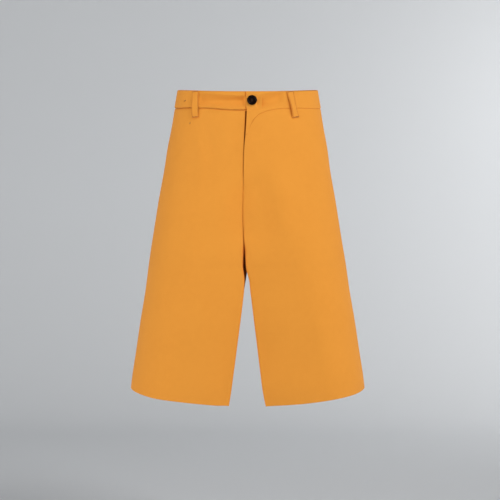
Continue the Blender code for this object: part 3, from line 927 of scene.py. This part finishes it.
def matt_paper(tree, colour):
    """Seamless background paper: smooth and quite matt."""
    return {"Base Color": (*linear(colour), 1), "Roughness": 0.95, "Specular IOR Level": 0.2}


def cloth_finish(settings):
    looks = (settings.colour, settings.shade, settings.wale, settings.relief)
    return material("orange_cotton_twill", twill, *looks)


def thread_finish(settings):
    return material("sewing_thread", spun_thread, settings.thread_colour)


# ---------------------------------------------------------------- sewing


def stitch_tree():
    """Sews along paths: even stitches, each turned from the path about the cloth's outward direction, first
    to one side and then to the other."""
    tree = bpy.data.node_groups.get("stitch_row")
    if tree:
        return tree
    tree = bpy.data.node_groups.new("stitch_row", "GeometryNodeTree")
    for name, kind in (
        ("Paths", "Geometry"),
        ("Pitch", "Float"),
        ("Stitch Length", "Float"),
        ("Thread", "Float"),
        ("Turn", "Float"),
        ("Unevenness", "Float"),
        ("Seed", "Int"),
        ("Finish", "Material"),
    ):
        tree.interface.new_socket(name=name, in_out="INPUT", socket_type="NodeSocket" + kind)
    tree.interface.new_socket(name="Stitches", in_out="OUTPUT", socket_type="NodeSocketGeometry")
    given = add_node(tree, "NodeGroupInput").outputs
    path = add_node(tree, "GeometryNodeMeshToCurve", {"Mesh": given["Paths"]})
    even = add_node(
        tree, "GeometryNodeResampleCurve", {"Curve": path.outputs["Curve"], "Length": given["Pitch"]},
        mode="LENGTH",
    )
    along = add_node(tree, "GeometryNodeInputTangent")
    outward = add_node(
        tree, "GeometryNodeInputNamedAttribute", {"Name": "outward"}, data_type="FLOAT_VECTOR"
    )
    index = add_node(tree, "GeometryNodeInputIndex")
    every_other = add_node(
        tree, "ShaderNodeMath", {0: index.outputs["Index"], 1: 2.0}, operation="MODULO"
    )
    hand = add_node(
        tree, "ShaderNodeMath", {0: every_other.outputs[0], 1: -2.0, 2: 1.0}, operation="MULTIPLY_ADD"
    )
    wander = add_node(
        tree, "FunctionNodeRandomValue", {2: -1.0, 3: 1.0, 8: given["Seed"]}, data_type="FLOAT"
    )
    loose = add_node(
        tree, "ShaderNodeMath", {0: wander.outputs[1], 1: given["Unevenness"]}, operation="MULTIPLY"
    )
    angle = add_node(
        tree, "ShaderNodeMath", {0: hand.outputs[0], 1: given["Turn"], 2: loose.outputs[0]},
        operation="MULTIPLY_ADD",
    )
    heading = add_node(
        tree, "ShaderNodeVectorRotate",
        {"Vector": along.outputs["Tangent"], "Axis": outward.outputs["Attribute"],
         "Angle": angle.outputs[0]},
        rotation_type="AXIS_ANGLE",
    )
    turned = add_node(
        tree, "FunctionNodeAlignRotationToVector", {"Vector": heading.outputs["Vector"]}, axis="Z"
    )
    longer = add_node(
        tree, "ShaderNodeMath", {0: given["Stitch Length"], 1: loose.outputs[0], 2: given["Stitch Length"]},
        operation="MULTIPLY_ADD",
    )
    size = add_node(
        tree, "ShaderNodeCombineXYZ", {"X": given["Thread"], "Y": given["Thread"], "Z": longer.outputs[0]}
    )
    stitch = add_node(tree, "GeometryNodeMeshUVSphere", {"Segments": 6, "Rings": 4, "Radius": 0.5})
    sewn = add_node(
        tree, "GeometryNodeInstanceOnPoints",
        {"Points": even.outputs["Curve"], "Instance": stitch.outputs["Mesh"], "Rotation": turned.outputs[0],
         "Scale": size.outputs["Vector"]},
    )
    real = add_node(tree, "GeometryNodeRealizeInstances", {"Geometry": sewn.outputs["Instances"]})
    smooth = add_node(tree, "GeometryNodeSetShadeSmooth", {"Geometry": real.outputs["Geometry"]})
    finished = add_node(
        tree, "GeometryNodeSetMaterial",
        {"Geometry": smooth.outputs["Geometry"], "Material": given["Finish"]},
    )
    add_node(tree, "NodeGroupOutput", {"Stitches": finished.outputs["Geometry"]})
    return tree


def sew(name, paths, finish):
    """A piece of its stitches along paths. Each path is its points and the outward directions there."""
    stitch = STITCHES[name]
    points = np.concatenate([path[0] for path in paths]) * MM
    outward = np.concatenate([path[1] for path in paths])
    edges, start = [], 0
    for path in paths:
        edges += [(i, i + 1) for i in range(start, start + len(path[0]) - 1)]
        start += len(path[0])
    mesh = bpy.data.meshes.new(name + "_paths")
    mesh.from_pydata(points.tolist(), edges, [])
    directions = mesh.attributes.new("outward", "FLOAT_VECTOR", "POINT")
    directions.data.foreach_set("vector", outward.ravel())
    made = add_object(name, mesh)
    sewing = made.modifiers.new("sewing", "NODES")
    tree = stitch_tree()
    sewing.node_group = tree
    wanted = {
        "Pitch": stitch.pitch * MM, "Stitch Length": stitch.length * MM, "Thread": stitch.thread * MM,
        "Turn": math.radians(stitch.turn), "Unevenness": stitch.unevenness, "Seed": stitch.seed,
        "Finish": finish,
    }
    for socket in tree.interface.items_tree:
        if socket.item_type == "SOCKET" and socket.in_out == "INPUT" and socket.name in wanted:
            sewing[socket.identifier] = wanted[socket.name]
    stitches = settle(made)
    stitches.name = name
    bpy.data.meshes.remove(mesh)
    return finish_piece(made, BODY, ())


# ---------------------------------------------------------------- settings


def colour_setting(name, what, default):
    return bpy.props.StringProperty(name=name, description=what + ", sRGB hex", default=default)


def length_setting(name, what, default, precision=4):
    return bpy.props.FloatProperty(
        name=name, description=what, default=default, unit="LENGTH", precision=precision
    )


def power_setting(name, what, default):
    return bpy.props.FloatProperty(name=name, description=f"Power of the {what} in watts", default=default)


class ShortsCloth(bpy.types.PropertyGroup):
    wall: length_setting("Cloth", "Thickness of the cloth", 0.0014)
    seam_depth: length_setting("Seam depth", "How far the cloth turns in at a seam", 0.0006)
    crease_share: bpy.props.FloatProperty(
        name="Creases", description="How deep the soft creases are, as a share of their own depth",
        default=1.0, min=0.0, max=2.0,
    )
    colour: colour_setting("Colour", "Twill colour", "#EE9D3C")
    # Shade is the darker tone of the uneven dye, and painted shade in the furrows of the weave
    shade: colour_setting("Shade", "Colour in the furrows of the weave", "#CF7A26")
    wale: length_setting("Wale", "Distance between the twill's diagonal ridges", 0.0009)
    relief: length_setting("Relief", "Height of the twill's ridges", 0.00012, 5)


class ShortsTrim(bpy.types.PropertyGroup):
    button_colour: colour_setting("Button", "Button colour", "#120603")
    button_thread: colour_setting("Button thread", "Colour of the thread in the button", "#241009")
    # The tack thread is darker than the sewing thread: painted shade for the small dimple each tack pulls
    # into the cloth
    tack_thread_dimple_shade: colour_setting("Tack thread", "Colour of the thread in the small tacks", "#A65E1C")
    thread_colour: colour_setting("Thread", "Sewing thread colour", "#D9852E")
    # The tape's colour is darker than the cloth's: partly its own dye, partly painted shade for the fly's
    # slit, where the tape shows
    tape_colour_with_slit_shade: colour_setting("Zip", "Zip tape and coil colour", "#C26A14")


class ShortsStage(bpy.types.PropertyGroup):
    backdrop: colour_setting("Backdrop", "Colour of the backdrop and floor", "#DDDFE1")
    key: power_setting("Key", "main light", 53.0)
    fill: power_setting("Fill", "fill light", 39.5)
    front: power_setting("Front", "low light beside the camera", 20.0)
    side: power_setting("Side", "light from the left side", 23.0)
    room: bpy.props.FloatProperty(name="Room", description="Strength of the light all round", default=0.28)


# ---------------------------------------------------------------- the cloth pieces


def panel_levels():
    """The levels of a panel's rows, from the waist seam down to the hem."""
    near_top = [BAND_SEAM - step for step in ROWS_BELOW_SEAM]
    at_turn = [HEM + HEM_TURN + step for step in ROWS_AT_TURN]
    near_hem = [HEM + step for step in ROWS_ABOVE_HEM]
    count = round((near_top[-1] - at_turn[0]) / ROW_STEP)
    between = np.linspace(near_top[-1], at_turn[0], count + 1)[1:-1]
    near_turn = np.linspace(at_turn[1], near_hem[0], 5)[1:-1]
    return np.concatenate([near_top, between, at_turn, near_turn, near_hem])


def crease_depth(face, points):
    """The soft troughs and ridges of the front or back, in millimetres outwards."""
    x, z = points[..., 0], points[..., 2]
    depth = np.zeros(x.shape)
    for crease in CREASES[face]:
        run = np.array([crease.x_foot - crease.x_top, crease.z_foot - crease.z_top], float)
        length = np.hypot(*run)
        run /= length
        along = ((x - crease.x_top) * run[0] + (z - crease.z_top) * run[1]) / length
        off = (x - crease.x_top) * run[1] - (z - crease.z_top) * run[0]
        off = off + crease.width * CREASE_WAVE * np.sin(along * CREASE_WAVES + crease.x_top)
        ends = ease(along / CREASE_SETS_IN) * ease((1 - along) / CREASE_DIES_OUT)
        spread = crease.width * (CREASE_STARTS + CREASE_GAINS * np.clip(along, 0, 1))
        depth += crease.depth * ends * np.exp(-((off / spread) ** 2))
    return depth


# Each panel's face as a grid of points, with its outward directions, distances across, wall and levels at
# the side
Grid = namedtuple("Grid", "points out across walls levels flip")
GRIDS = {}


def make_panel(name, side, back, settings):
    levels = panel_levels()
    overlaps = name == "front_left"
    points, x = rows_of(levels, side, back, float(overlaps))
    z = points[..., 2]
    flip = (side > 0) != back
    out = outward_of(points, flip)
    across = lengths_across(points)
    from_end = across[:, -1:] - across
    on_fly = ease((z - FLY_END) / FLY_FADE) * (not back)
    turn = settings.seam_depth / MM
    # Creases move the cloth forward or back, and fade towards the side seam and the inseam
    creased = crease_depth("back" if back else "front", points) * settings.crease_share
    creased *= ease(np.abs(INSEAM_Y - points[..., 1]) / CREASE_FADE) * (1 if back else -1)
    depth = -turn * bump(across / SEAM_TURN)
    depth -= turn * MIDDLE_SEAM * bump(from_end / SEAM_TURN) * (1 - on_fly)
    depth -= turn * (FAINT_SEAM if overlaps else DEEP_SEAM) * bump((BAND_SEAM - levels[:, None]) / SEAM_TURN)
    lean = np.clip((HEM + HEM_LEAN_HEIGHT - levels[:, None]) / HEM_LEAN_HEIGHT, 0, 1) ** 2
    depth -= HEM_LEAN[name] * lean * ease(across / EDGE_REACH) * ease(from_end / EDGE_REACH)
    depth -= side_drawn[side > 0](z) * bump(across / EDGE_REACH)
    if overlaps:
        depth += FLY_RAISE * on_fly * ease(1 - x / FLY_REACH) ** FLY_RAISE_POWER
    depth -= FLY_ROUNDS * on_fly * bump(from_end / FLY_ROUNDS_WIDTH)
    seam_x = points[:, -1, 0].copy()
    points = points + out * depth[..., None]
    points[:, -1, 0] = seam_x
    points[..., 1] += creased
    if back:
        points[0, :, 2] += SEAT_LET_UP
    else:
        points[..., 0] += side * slit[side > 0](z) * bump(from_end / SLIT_REACH)
    near_hem = ease((HEM + HEM_WANDER_HEIGHT - levels[:, None]) / HEM_WANDER_HEIGHT)
    for wander in HEM_WANDERS:
        if wander.panel == name:
            points[..., 2] += near_hem * wander.rise * bump((points[..., 0] - wander.x) / wander.reach)

    wall = settings.wall / MM
    walls = wall + HEM_EXTRA * (levels < HEM + HEM_TURN)

    def squared(found):
        found[:, 0, 1] = 0
        below = levels <= CROTCH
        found[below, -1, 1] = 0
        if not overlaps:
            found[~below, -1, 0] = 0
        return found

    piece = wall_piece(
        name + "_cloth", points, walls[:, None], cloth_finish(settings), flip, squared=squared,
        first_row=FAINT_SEAM if overlaps else 1.0, last_column=MIDDLE_EDGE,
    )
    GRIDS[name] = Grid(points, outward_of(points, flip), lengths_across(points), walls, levels, flip)
    return finish_piece(piece, BODY, [name])


def inside_strip(grid, rows, distances, inset, from_end=False):
    """Points on a panel's rows at distances from one of its side edges, sunk inset below its face, and the
    outward directions there."""
    points, outward = [], []
    for i in rows:
        wanted = grid.across[i, -1] - distances[::-1] if from_end else distances
        face = grid.points[i] - grid.out[i] * inset
        points.append(np.stack([np.interp(wanted, grid.across[i], face[:, k]) for k in range(3)], 1))
        outward.append(np.stack([np.interp(wanted, grid.across[i], grid.out[i][:, k]) for k in range(3)], 1))
    return np.array(points), np.array(outward)


def make_turnings(name, settings):
    """The turned-in edges of a panel's two long seams, and the paths of the stitches that bind them."""
    grid = GRIDS[name]
    inset = settings.wall / MM + TURNING_INSET
    above_hem = grid.levels > HEM + HEM_TURN + TURNING_CLEAR
    distances = np.linspace(TURNING_STARTS, TURNING, 6)
    paths, pieces = [], []
    for end, from_end in (("side", False), ("middle", True)):
        rows = np.nonzero(above_hem & (grid.levels < BAND_SEAM - TURNING_CLEAR))[0]
        if from_end and name.startswith("front"):
            rows = rows[grid.levels[rows] < FLY_END + TURNING_LAPS]
        points, outward = inside_strip(grid, rows, distances, inset, from_end)
        piece = wall_piece(
            f"{name}_turning_{end}", points, TURNING_WALL, cloth_finish(settings), grid.flip, TURNING_EDGE
        )
        pieces.append(finish_piece(piece, BODY, ()))
        free = 0 if from_end else -1
        inward = outward[:, free] * (TURNING_WALL + BOUND_LIFT)
        paths.append((points[:, free] - inward, outward[:, free]))
    return pieces, paths


def level_row(grid, level, inset, first, last):
    """A path across a panel at one level, between two shares of the row, and its outward directions."""
    at = np.interp(-level, -grid.levels, np.arange(len(grid.levels)))
    i = min(int(at), len(grid.levels) - 2)
    share = at - i
    points = grid.points[i] * (1 - share) + grid.points[i + 1] * share
    out = grid.out[i] * (1 - share) + grid.out[i + 1] * share
    chosen = slice(int(first * (len(out) - 1)), int(last * (len(out) - 1)) + 1)
    return (points - out * inset)[chosen], out[chosen]


def make_band(name, side, settings):
    """Half the waistband, from the centre back round to the centre front."""
    left = side > 0
    flip = not left
    levels = BAND_SEAM + (BAND_TOP - BAND_SEAM) * BAND_ROWS
    behind, behind_x = rows_of(levels, side, True)
    ahead, ahead_x = rows_of(levels, side, False, (1 - BAND_ROWS) * left)
    points = np.concatenate([behind[:, ::-1], ahead], 1)
    x = np.concatenate([behind_x[:, ::-1], ahead_x], 1)
    if not left:
        # The underlap runs on behind the left half's end
        run = np.linspace(0, UNDERLAP_REACH, 15)[1:]
        run_x = np.broadcast_to(run[None, :], (len(levels), len(run)))
        run_levels = levels[:, None] + np.zeros_like(run_x)
        run_z = slanted(run_levels, run_x, crown_y(run_x, run_levels, False))
        more = set_in_place(run_x, crown_y(run_x, run_z, False), run_z, 1)
        points = np.concatenate([points, more], 1)
        x = np.concatenate([x, -run_x], 1)
    out = outward_of(points, flip)
    share = BAND_ROWS[:, None]
    forward = points[..., 1] < 0
    in_front = ease(-points[..., 1] / BAND_PROUD_REACH)
    proud = BAND_PROUD_BEHIND + (BAND_PROUD[left] - BAND_PROUD_BEHIND) * in_front
    proud = proud * ease((BAND_FADES_BY - share) / BAND_FADES_OVER)
    turn = settings.seam_depth / MM
    depth = proud - turn * BAND_FOOT_TURN[left] * bump(share * BAND_DEPTH / SEAM_TURN)
    depth = depth - turn * bump(lengths_across(points) / SEAM_TURN)
    near_front = np.where(forward, x, FAR)
    rise = points[..., 2] - slanted(np.float64(BAND_SEAM), x, points[..., 1])
    if left:
        depth = depth + FLY_RAISE * ease(1 - near_front / FLY_REACH) ** FLY_RAISE_POWER
        marked = bump((rise - SEAM_MARK_RISE) / SEAM_MARK_WIDTH)
        depth = depth - SEAM_MARK * ease((SEAM_MARK_REACH - near_front) / SEAM_MARK_FADE) * marked
    else:
        tucked = ease((UNDERLAP_STARTS - near_front) / UNDERLAP_SINKS)
        depth = depth * (1 - tucked) - UNDERLAP_INSET * tucked
    above_seam = np.clip(rise / (BAND_TOP - BAND_SEAM), 0, None)
    for fold in BAND_FOLDS:
        if fold.band != name:
            continue
        along = (points[..., 0] - fold.x_start) / (fold.x_end - fold.x_start)
        valley = fold.valley_start + (fold.valley_end - fold.valley_start) * along
        crest = fold.crest_start + (fold.crest_end - fold.crest_start) * along
        ends = ease(along / fold.sets_in) * ease((1 - along) / fold.dies_out) * forward
        shape = ease(above_seam / valley) * (1 - ease((above_seam - valley) / (crest - valley)))
        depth = depth - fold.depth * settings.crease_share * ends * shape
    points = points + out * depth[..., None]
    if left:
        points[..., 0] += slit[1](points[..., 2]) * bump(near_front / SLIT_REACH)

    def squared(found):
        found[:, 0, 0] = 0
        if left:
            found[:, -1, 0] = 0
        return found

    piece = wall_piece(
        name + "_cloth", points, BAND_WALL, cloth_finish(settings), flip, squared=squared,
        first_row=FAINT_SEAM if left else DEEP_SEAM,
    )
    GRIDS[name] = Grid(points, outward_of(points, flip), lengths_across(points), BAND_WALL, levels, flip)
    return finish_piece(piece, BODY, [name])


class SHORTS_OT_panels(bpy.types.Operator):
    """Make the two front and two back panels, with their turned hems and the turnings of their seams"""

    bl_idname = "shorts.panels"
    bl_label = "Panels"

    def execute(self, context):
        settings = context.scene.shorts_cloth
        trim = context.scene.shorts_trim
        overlock, blind = [], []
        for name, side, back in (
            ("front_left", 1, False),
            ("front_right", -1, False),
            ("back_left", 1, True),
            ("back_right", -1, True),
        ):
            piece = make_panel(name, side, back, settings)
            turnings, paths = make_turnings(name, settings)
            overlock += paths
            grid = GRIDS[name]
            edge_inset = settings.wall / MM + HEM_EXTRA / 2
            overlock.append(level_row(grid, HEM + HEM_TURN + HEM_OVERLOCKED, edge_inset, *HEM_SEWN))
            blind.append(level_row(grid, HEM + HEM_TURN - HEM_BLIND, -HEM_BLIND_LIFT, *HEM_SEWN))
        thread = thread_finish(trim)
        sew("overlocking", overlock, thread)
        sew("hem_stitches", blind, thread)
        return {"FINISHED"}


class SHORTS_OT_waistband(bpy.types.Operator):
    """Make the waistband's two halves, with the curved tab and the underlap, and their stitches"""

    bl_idname = "shorts.waistband"
    bl_label = "Waistband"

    def execute(self, context):
        settings = context.scene.shorts_cloth
        trim = context.scene.shorts_trim
        paths = []
        for name, side in (("waistband_left", 1), ("waistband_right", -1)):
            piece = make_band(name, side, settings)
            grid = GRIDS[name]
            inside = grid.points[2] - grid.out[2] * (BAND_WALL + STITCH_LIFT)
            last = len(inside) - (3 if side > 0 else 1)
            paths.append((inside[2:last], grid.out[2][2:last]))
        # The band's inner edge is caught down by a row that lies in its seam
        sew("band_stitches", paths, thread_finish(trim))
        return {"FINISHED"}


def surface_at(x, level, back, proud):
    """The point and outward direction of the cloth at this distance from the middle, on a slanted row."""
    side = math.copysign(1, x)
    z = float(slanted(level, abs(x), crown_y(abs(x), level, back)))

    def at(far, high):
        return Vector(set_in_place(np.float64(far), crown_y(far, high, back), np.float64(high), side))

    here, beside, above = at(abs(x), z), at(abs(x) + 1, z), at(abs(x), z + 1)
    outward = (beside - here).cross(above - here).normalized()
    if outward.y * here.y < 0:
        outward = -outward
    return here + outward * proud, outward


def loop_frame(loop):
    """A belt loop's foot, length and directions: across, outward and up."""
    proud = BAND_PROUD[loop.x_top > 0]
    top, top_out = surface_at(loop.x_top, BAND_TOP - LOOP_BELOW_TOP, loop.back, proud)
    foot, foot_out = surface_at(loop.x_foot, BAND_SEAM - LOOP_BELOW_SEAM, loop.back, 0.0)
    up = (top - foot).normalized()
    outward = (top_out + foot_out).normalized()
    outward = (outward - up * outward.dot(up)).normalized()
    return foot, (top - foot).length, outward.cross(up).normalized(), outward, up


def tack_paths():
    """Short bars sewn through the right front and its band, below and beside the belt loop."""
    paths = []
    for tack in TACKS:
        grid = GRIDS[tack.grid]
        face, out = grid.points.reshape(-1, 3), grid.out.reshape(-1, 3)
        behind = face[:, 1] >= 0
        points, outward = [], []
        for run in np.linspace(-0.5, 0.5, 5) * tack.length:
            x, z = tack.x + run * math.sin(tack.lean), tack.z + run * math.cos(tack.lean)
            gap = np.hypot(face[:, 0] - x, face[:, 2] - z) + FAR * behind
            near = np.argsort(gap)[:4]
            weight = 1 / (gap[near] + 0.05)
            weight /= weight.sum()
            normal = (out[near] * weight[:, None]).sum(0)
            points.append(np.array([x, (face[near, 1] * weight).sum(), z]) + normal * STITCH_LIFT)
            outward.append(normal)
        paths.append((np.array(points), np.array(outward)))
    return paths


class SHORTS_OT_belt_loops(bpy.types.Operator):
    """Make the five belt loops, with their edge stitches and the bars that hold their ends"""

    bl_idname = "shorts.belt_loops"
    bl_label = "Belt loops"

    def execute(self, context):
        settings = context.scene.shorts_cloth
        trim = context.scene.shorts_trim
        sides = LOOP_COLUMNS[None, :]
        rows, bars = [], []
        for loop in LOOPS:
            foot, length, across, outward, up = loop_frame(loop)
            turned = math.radians(loop.turn) * ease(LOOP_ROWS / LOOP_TURN_GROWS)
            turned = turned * ease((1 - LOOP_ROWS) / LOOP_TURN_FADES)
            cos, sin = np.cos(turned)[:, None], np.sin(turned)[:, None]
            bow = loop_bow(LOOP_ROWS)[:, None]
            rise = bow * (loop.stand - LOOP_SEAT) - LOOP_CROWN * np.abs(2 * sides) ** 4
            x = sides * LOOP_WIDTH * cos - rise * sin
            stand = LOOP_SEAT + LOOP_WALL + sides * LOOP_WIDTH * sin + rise * cos
            z = LOOP_ROWS[:, None] * length + np.zeros_like(x)
            axes = np.array([across, outward, up])
            points = np.array(foot) + np.stack([x, stand, z], -1) @ axes
            finish = cloth_finish(settings)
            piece = wall_piece(loop.name + "_cloth", points, LOOP_WALL, finish, False, LOOP_EDGE)
            finish_piece(piece, BODY, [loop.name])
            out = outward_of(points, False)
            for place in (np.s_[2:-2, 2], np.s_[2:-2, 6]):
                rows.append((points[place] + out[place] * STITCH_LIFT, out[place]))
            for place in (np.s_[1, 1:-1], np.s_[-2, 1:-1]):
                bars.append((points[place] + out[place] * BAR_LIFT, out[place]))
        thread = thread_finish(trim)
        sew("loop_stitches", rows, thread)
        sew("loop_bars", bars, thread)
        # The tacks' darker thread is painted shade for the dimple each tack pulls into the cloth
        sew("pocket_tacks", tack_paths(), material("tack_thread_dimple_shade", spun_thread, trim.tack_thread_dimple_shade))
        return {"FINISHED"}

class SHORTS_OT_button(bpy.types.Operator):
    """Make the button with its four holes, the thread in them and the worked buttonhole"""

    bl_idname = "shorts.button"
    bl_label = "Button"

    def execute(self, context):
        settings = context.scene.shorts_trim
        resin = material("polished_resin", polished, settings.button_colour, RESIN)
        mesh = bpy.data.meshes.new("button_disc")
        build = bmesh.new()
        points = [build.verts.new(Vector((at.radius, 0, at.height)) * MM) for at in BUTTON_PROFILE]
        edges = [build.edges.new(pair) for pair in zip(points, points[1:])]
        bmesh.ops.spin(
            build, geom=points + edges, cent=(0, 0, 0), axis=(0, 0, 1), angle=math.tau, steps=72,
            use_merge=True,
        )
        bmesh.ops.remove_doubles(build, verts=build.verts, dist=1e-6)
        bmesh.ops.recalc_face_normals(build, faces=build.faces)
        build.to_mesh(mesh)
        build.free()
        disc = add_object("button_disc", mesh, resin)
        drill_holes(disc, BUTTON_HOLES)
        level = BUTTON_Z - WAIST_SLOPE * float(reach[0](BUTTON_Z))
        proud = BAND_PROUD[1] + FLY_RAISE + BUTTON_STANDS
        spot, outward = surface_at(BUTTON_X - float(drift(BUTTON_Z)), level, False, proud)
        place = Matrix.Translation(spot * MM) @ outward.to_track_quat("Z", "Y").to_matrix().to_4x4()
        disc.data.transform(place)
        finish_piece(disc, BODY, ["button"])

        across = np.array(place.to_3x3() @ Vector((1, 0, 0)))
        up = np.array(place.to_3x3() @ Vector((0, 1, 0)))
        facing = np.array(outward)
        strands = []
        for row in (-BUTTON_HOLES, BUTTON_HOLES):
            middle = np.array(spot) + facing * STRAND_STANDS
            run = np.array([row - STRAND_HALF, row, row + STRAND_HALF])[:, None] * up
            strands.append((middle + run, np.tile(facing, (3, 1))))
        dark = material("button_thread", spun_thread, settings.button_thread)
        sew("button_thread", strands, dark)
        # The buttonhole runs level behind the button, and its end shows past it
        behind = np.array(spot) - facing * BUTTONHOLE_BEHIND
        hole = []
        for high in (BUTTONHOLE_ROW, -BUTTONHOLE_ROW):
            run = np.linspace(*BUTTONHOLE, 9)[:, None] * across + high * up
            hole.append((behind + run + facing * BOUND_LIFT, np.tile(facing, (9, 1))))
        for far in BUTTONHOLE:
            run = far * across + np.linspace(-BUTTONHOLE_BAR, BUTTONHOLE_BAR, 5)[:, None] * up
            hole.append((behind + run + facing * BOUND_LIFT, np.tile(facing, (5, 1))))
        sew("buttonhole", hole, thread_finish(settings))
        return {"FINISHED"}


def drill_holes(disc, offset):
    """Cuts four round holes through the button, offset from its middle both ways."""
    cutter_mesh = bpy.data.meshes.new("holes")
    build = bmesh.new()
    for x in (-offset, offset):
        for y in (-offset, offset):
            bmesh.ops.create_cone(
                build, cap_ends=True, segments=20, radius1=HOLE_RADIUS * MM, radius2=HOLE_RADIUS * MM,
                depth=0.012, matrix=Matrix.Translation((x * MM, y * MM, 0.002)),
            )
    build.to_mesh(cutter_mesh)
    build.free()
    cutter = add_object("holes", cutter_mesh)
    cut = disc.modifiers.new("holes", "BOOLEAN")
    cut.operation = "DIFFERENCE"
    cut.solver = "EXACT"
    cut.object = cutter
    drilled = settle(disc)
    bpy.data.objects.remove(cutter)
    drilled.shade_smooth()
    drilled.set_sharp_from_angle(angle=math.radians(50))


class SHORTS_OT_fly(bpy.types.Operator):
    """Make the fly shield, and the zip's tape and closed chain behind the opening"""

    bl_idname = "shorts.fly"
    bl_label = "Fly"

    def execute(self, context):
        cloth = context.scene.shorts_cloth
        trim = context.scene.shorts_trim
        top = float(slanted(BAND_SEAM, 0, reach[0](BAND_SEAM))) - OPENING_BELOW_SEAM
        # The tape's colour carries painted shade for the fly's slit
        tape = material("woven_zip_tape", woven_tape, trim.tape_colour_with_slit_shade)
        for name, sides, inset, wall, finish, slot in (
            ("zip", TAPE_SIDES, TAPE_INSET, TAPE_WALL, tape, "zip_tape"),
            ("fly_shield", SHIELD_SIDES, SHIELD_INSET, SHIELD_WALL, cloth_finish(cloth), "twill"),
        ):
            x, z = np.meshgrid(np.linspace(*sides, OPENING_COLUMNS), np.linspace(top, FLY_END, OPENING_ROWS))
            points = set_in_place(np.abs(x), crown_y(np.abs(x), z, False), z, np.sign(x))
            out = outward_of(points, False)
            # They give way to the troughs of the panel in front of them
            give = np.minimum(0, crease_depth("front", points)) * cloth.crease_share
            points = points - out * (inset - give)[..., None]
            piece = wall_piece(name + "_cloth", points, wall, finish, False, OPENING_EDGE)
            finish_piece(piece, BODY, [name])
            if name == "zip":
                outward = out[1:-1, CHAIN_COLUMN]
                middle = (points[1:-1, CHAIN_COLUMN] + points[1:-1, CHAIN_COLUMN + 1]) / 2
                coil = material("nylon_coil", polished, trim.tape_colour_with_slit_shade, NYLON)
                sew("zip_chain", [(middle + outward * CHAIN_LIFT, outward)], coil)
        return {"FINISHED"}


class SHORTS_OT_stage(bpy.types.Operator):
    """Make the pale backdrop and floor, the soft studio lights and the camera"""

    bl_idname = "shorts.stage"
    bl_label = "Studio"

    def execute(self, context):
        settings = context.scene.shorts_stage
        scene = context.scene
        mesh = bpy.data.meshes.new("backdrop")
        profile = [(BACKDROP_FRONT, FLOOR)]
        for step in range(BEND_STEPS + 1):
            angle = math.pi / 2 * step / BEND_STEPS
            bend_y = BACKDROP_BACK - BACKDROP_BEND + BACKDROP_BEND * math.sin(angle)
            profile.append((bend_y, FLOOR + BACKDROP_BEND - BACKDROP_BEND * math.cos(angle)))
        profile.append((BACKDROP_BACK, BACKDROP_TOP))
        points = [(x, y, z) for y, z in profile for x in (-BACKDROP_SIDE, BACKDROP_SIDE)]
        faces = [(2 * i, 2 * i + 1, 2 * i + 3, 2 * i + 2) for i in range(len(profile) - 1)]
        mesh.from_pydata(points, [], faces)
        add_object("backdrop", mesh, material("seamless_paper", matt_paper, settings.backdrop))

        world = bpy.data.worlds.new("studio")
        world.use_nodes = True
        shade = world.node_tree.nodes["Background"]
        shade.inputs["Color"].default_value = (*linear(ROOM_COLOUR), 1)
        shade.inputs["Strength"].default_value = settings.room
        scene.world = world
        for name, place, size, watts, aim in (
            ("key", (1.7, -2.2, 2.0), 1.0, settings.key, GARMENT_MIDDLE),
            ("fill", (-2.6, -1.2, -0.3), 2.4, settings.fill, GARMENT_MIDDLE),
            ("front", (-1.8, -2.4, -0.4), 2.0, settings.front, GARMENT_MIDDLE),
            ("side", (2.6, -1.0, 0.0), 1.6, settings.side, GARMENT_MIDDLE),
            ("backdrop_wash", (1.8, 1.8, 0.4), 1.2, WASH_POWER, WASH_AIM),
        ):
            light = bpy.data.lights.new(name, "AREA")
            light.energy = watts
            light.size = size
            lamp = add_object(name, light)
            lamp.location = place
            lamp.rotation_euler = (Vector(aim) - Vector(place)).to_track_quat("-Z", "Y").to_euler()
            lamp.visible_camera = False

        # The photograph was taken level, square to the front, from well back
        camera = bpy.data.cameras.new("camera")
        camera.sensor_width = SENSOR
        camera.lens = SENSOR * CAMERA_AWAY / PICTURE_SPAN
        eye = add_object("camera", camera)
        eye.location = (CAMERA_X, -CAMERA_AWAY, CAMERA_Z)
        eye.rotation_euler = (math.pi / 2, 0, 0)
        scene.camera = eye
        scene.view_settings.view_transform = "Standard"
        return {"FINISHED"}


class SHORTS_PT_panel(bpy.types.Panel):
    """The shorts' settings, and a button for each group of pieces"""

    bl_idname = "SHORTS_PT_panel"
    bl_label = "Bermuda shorts"
    bl_space_type = "VIEW_3D"
    bl_region_type = "UI"
    bl_category = "Shorts"

    def draw(self, context):
        layout = self.layout
        for title, settings, operators in (
            ("Cloth", context.scene.shorts_cloth, ("panels", "waistband", "belt_loops", "fly")),
            ("Trims", context.scene.shorts_trim, ("button",)),
            ("Studio", context.scene.shorts_stage, ("stage",)),
        ):
            box = layout.box()
            box.label(text=title)
            for name in settings.__annotations__:
                box.prop(settings, name)
            for name in operators:
                box.operator("shorts." + name)


CLASSES = (
    ShortsCloth,
    ShortsTrim,
    ShortsStage,
    SHORTS_OT_panels,
    SHORTS_OT_waistband,
    SHORTS_OT_belt_loops,
    SHORTS_OT_fly,
    SHORTS_OT_button,
    SHORTS_OT_stage,
    SHORTS_PT_panel,
)


def register():
    for kind in CLASSES:
        bpy.utils.register_class(kind)
    bpy.types.Scene.shorts_cloth = bpy.props.PointerProperty(type=ShortsCloth)
    bpy.types.Scene.shorts_trim = bpy.props.PointerProperty(type=ShortsTrim)
    bpy.types.Scene.shorts_stage = bpy.props.PointerProperty(type=ShortsStage)


def unregister():
    for name in ("shorts_cloth", "shorts_trim", "shorts_stage"):
        delattr(bpy.types.Scene, name)
    for kind in reversed(CLASSES):
        bpy.utils.unregister_class(kind)


def main():
    register()
    bpy.ops.shorts.stage()
    bpy.ops.shorts.panels()
    bpy.ops.shorts.waistband()
    bpy.ops.shorts.fly()
    bpy.ops.shorts.belt_loops()
    bpy.ops.shorts.button()
    bpy.context.view_layer.update()


if __name__ == "__main__":
    main()
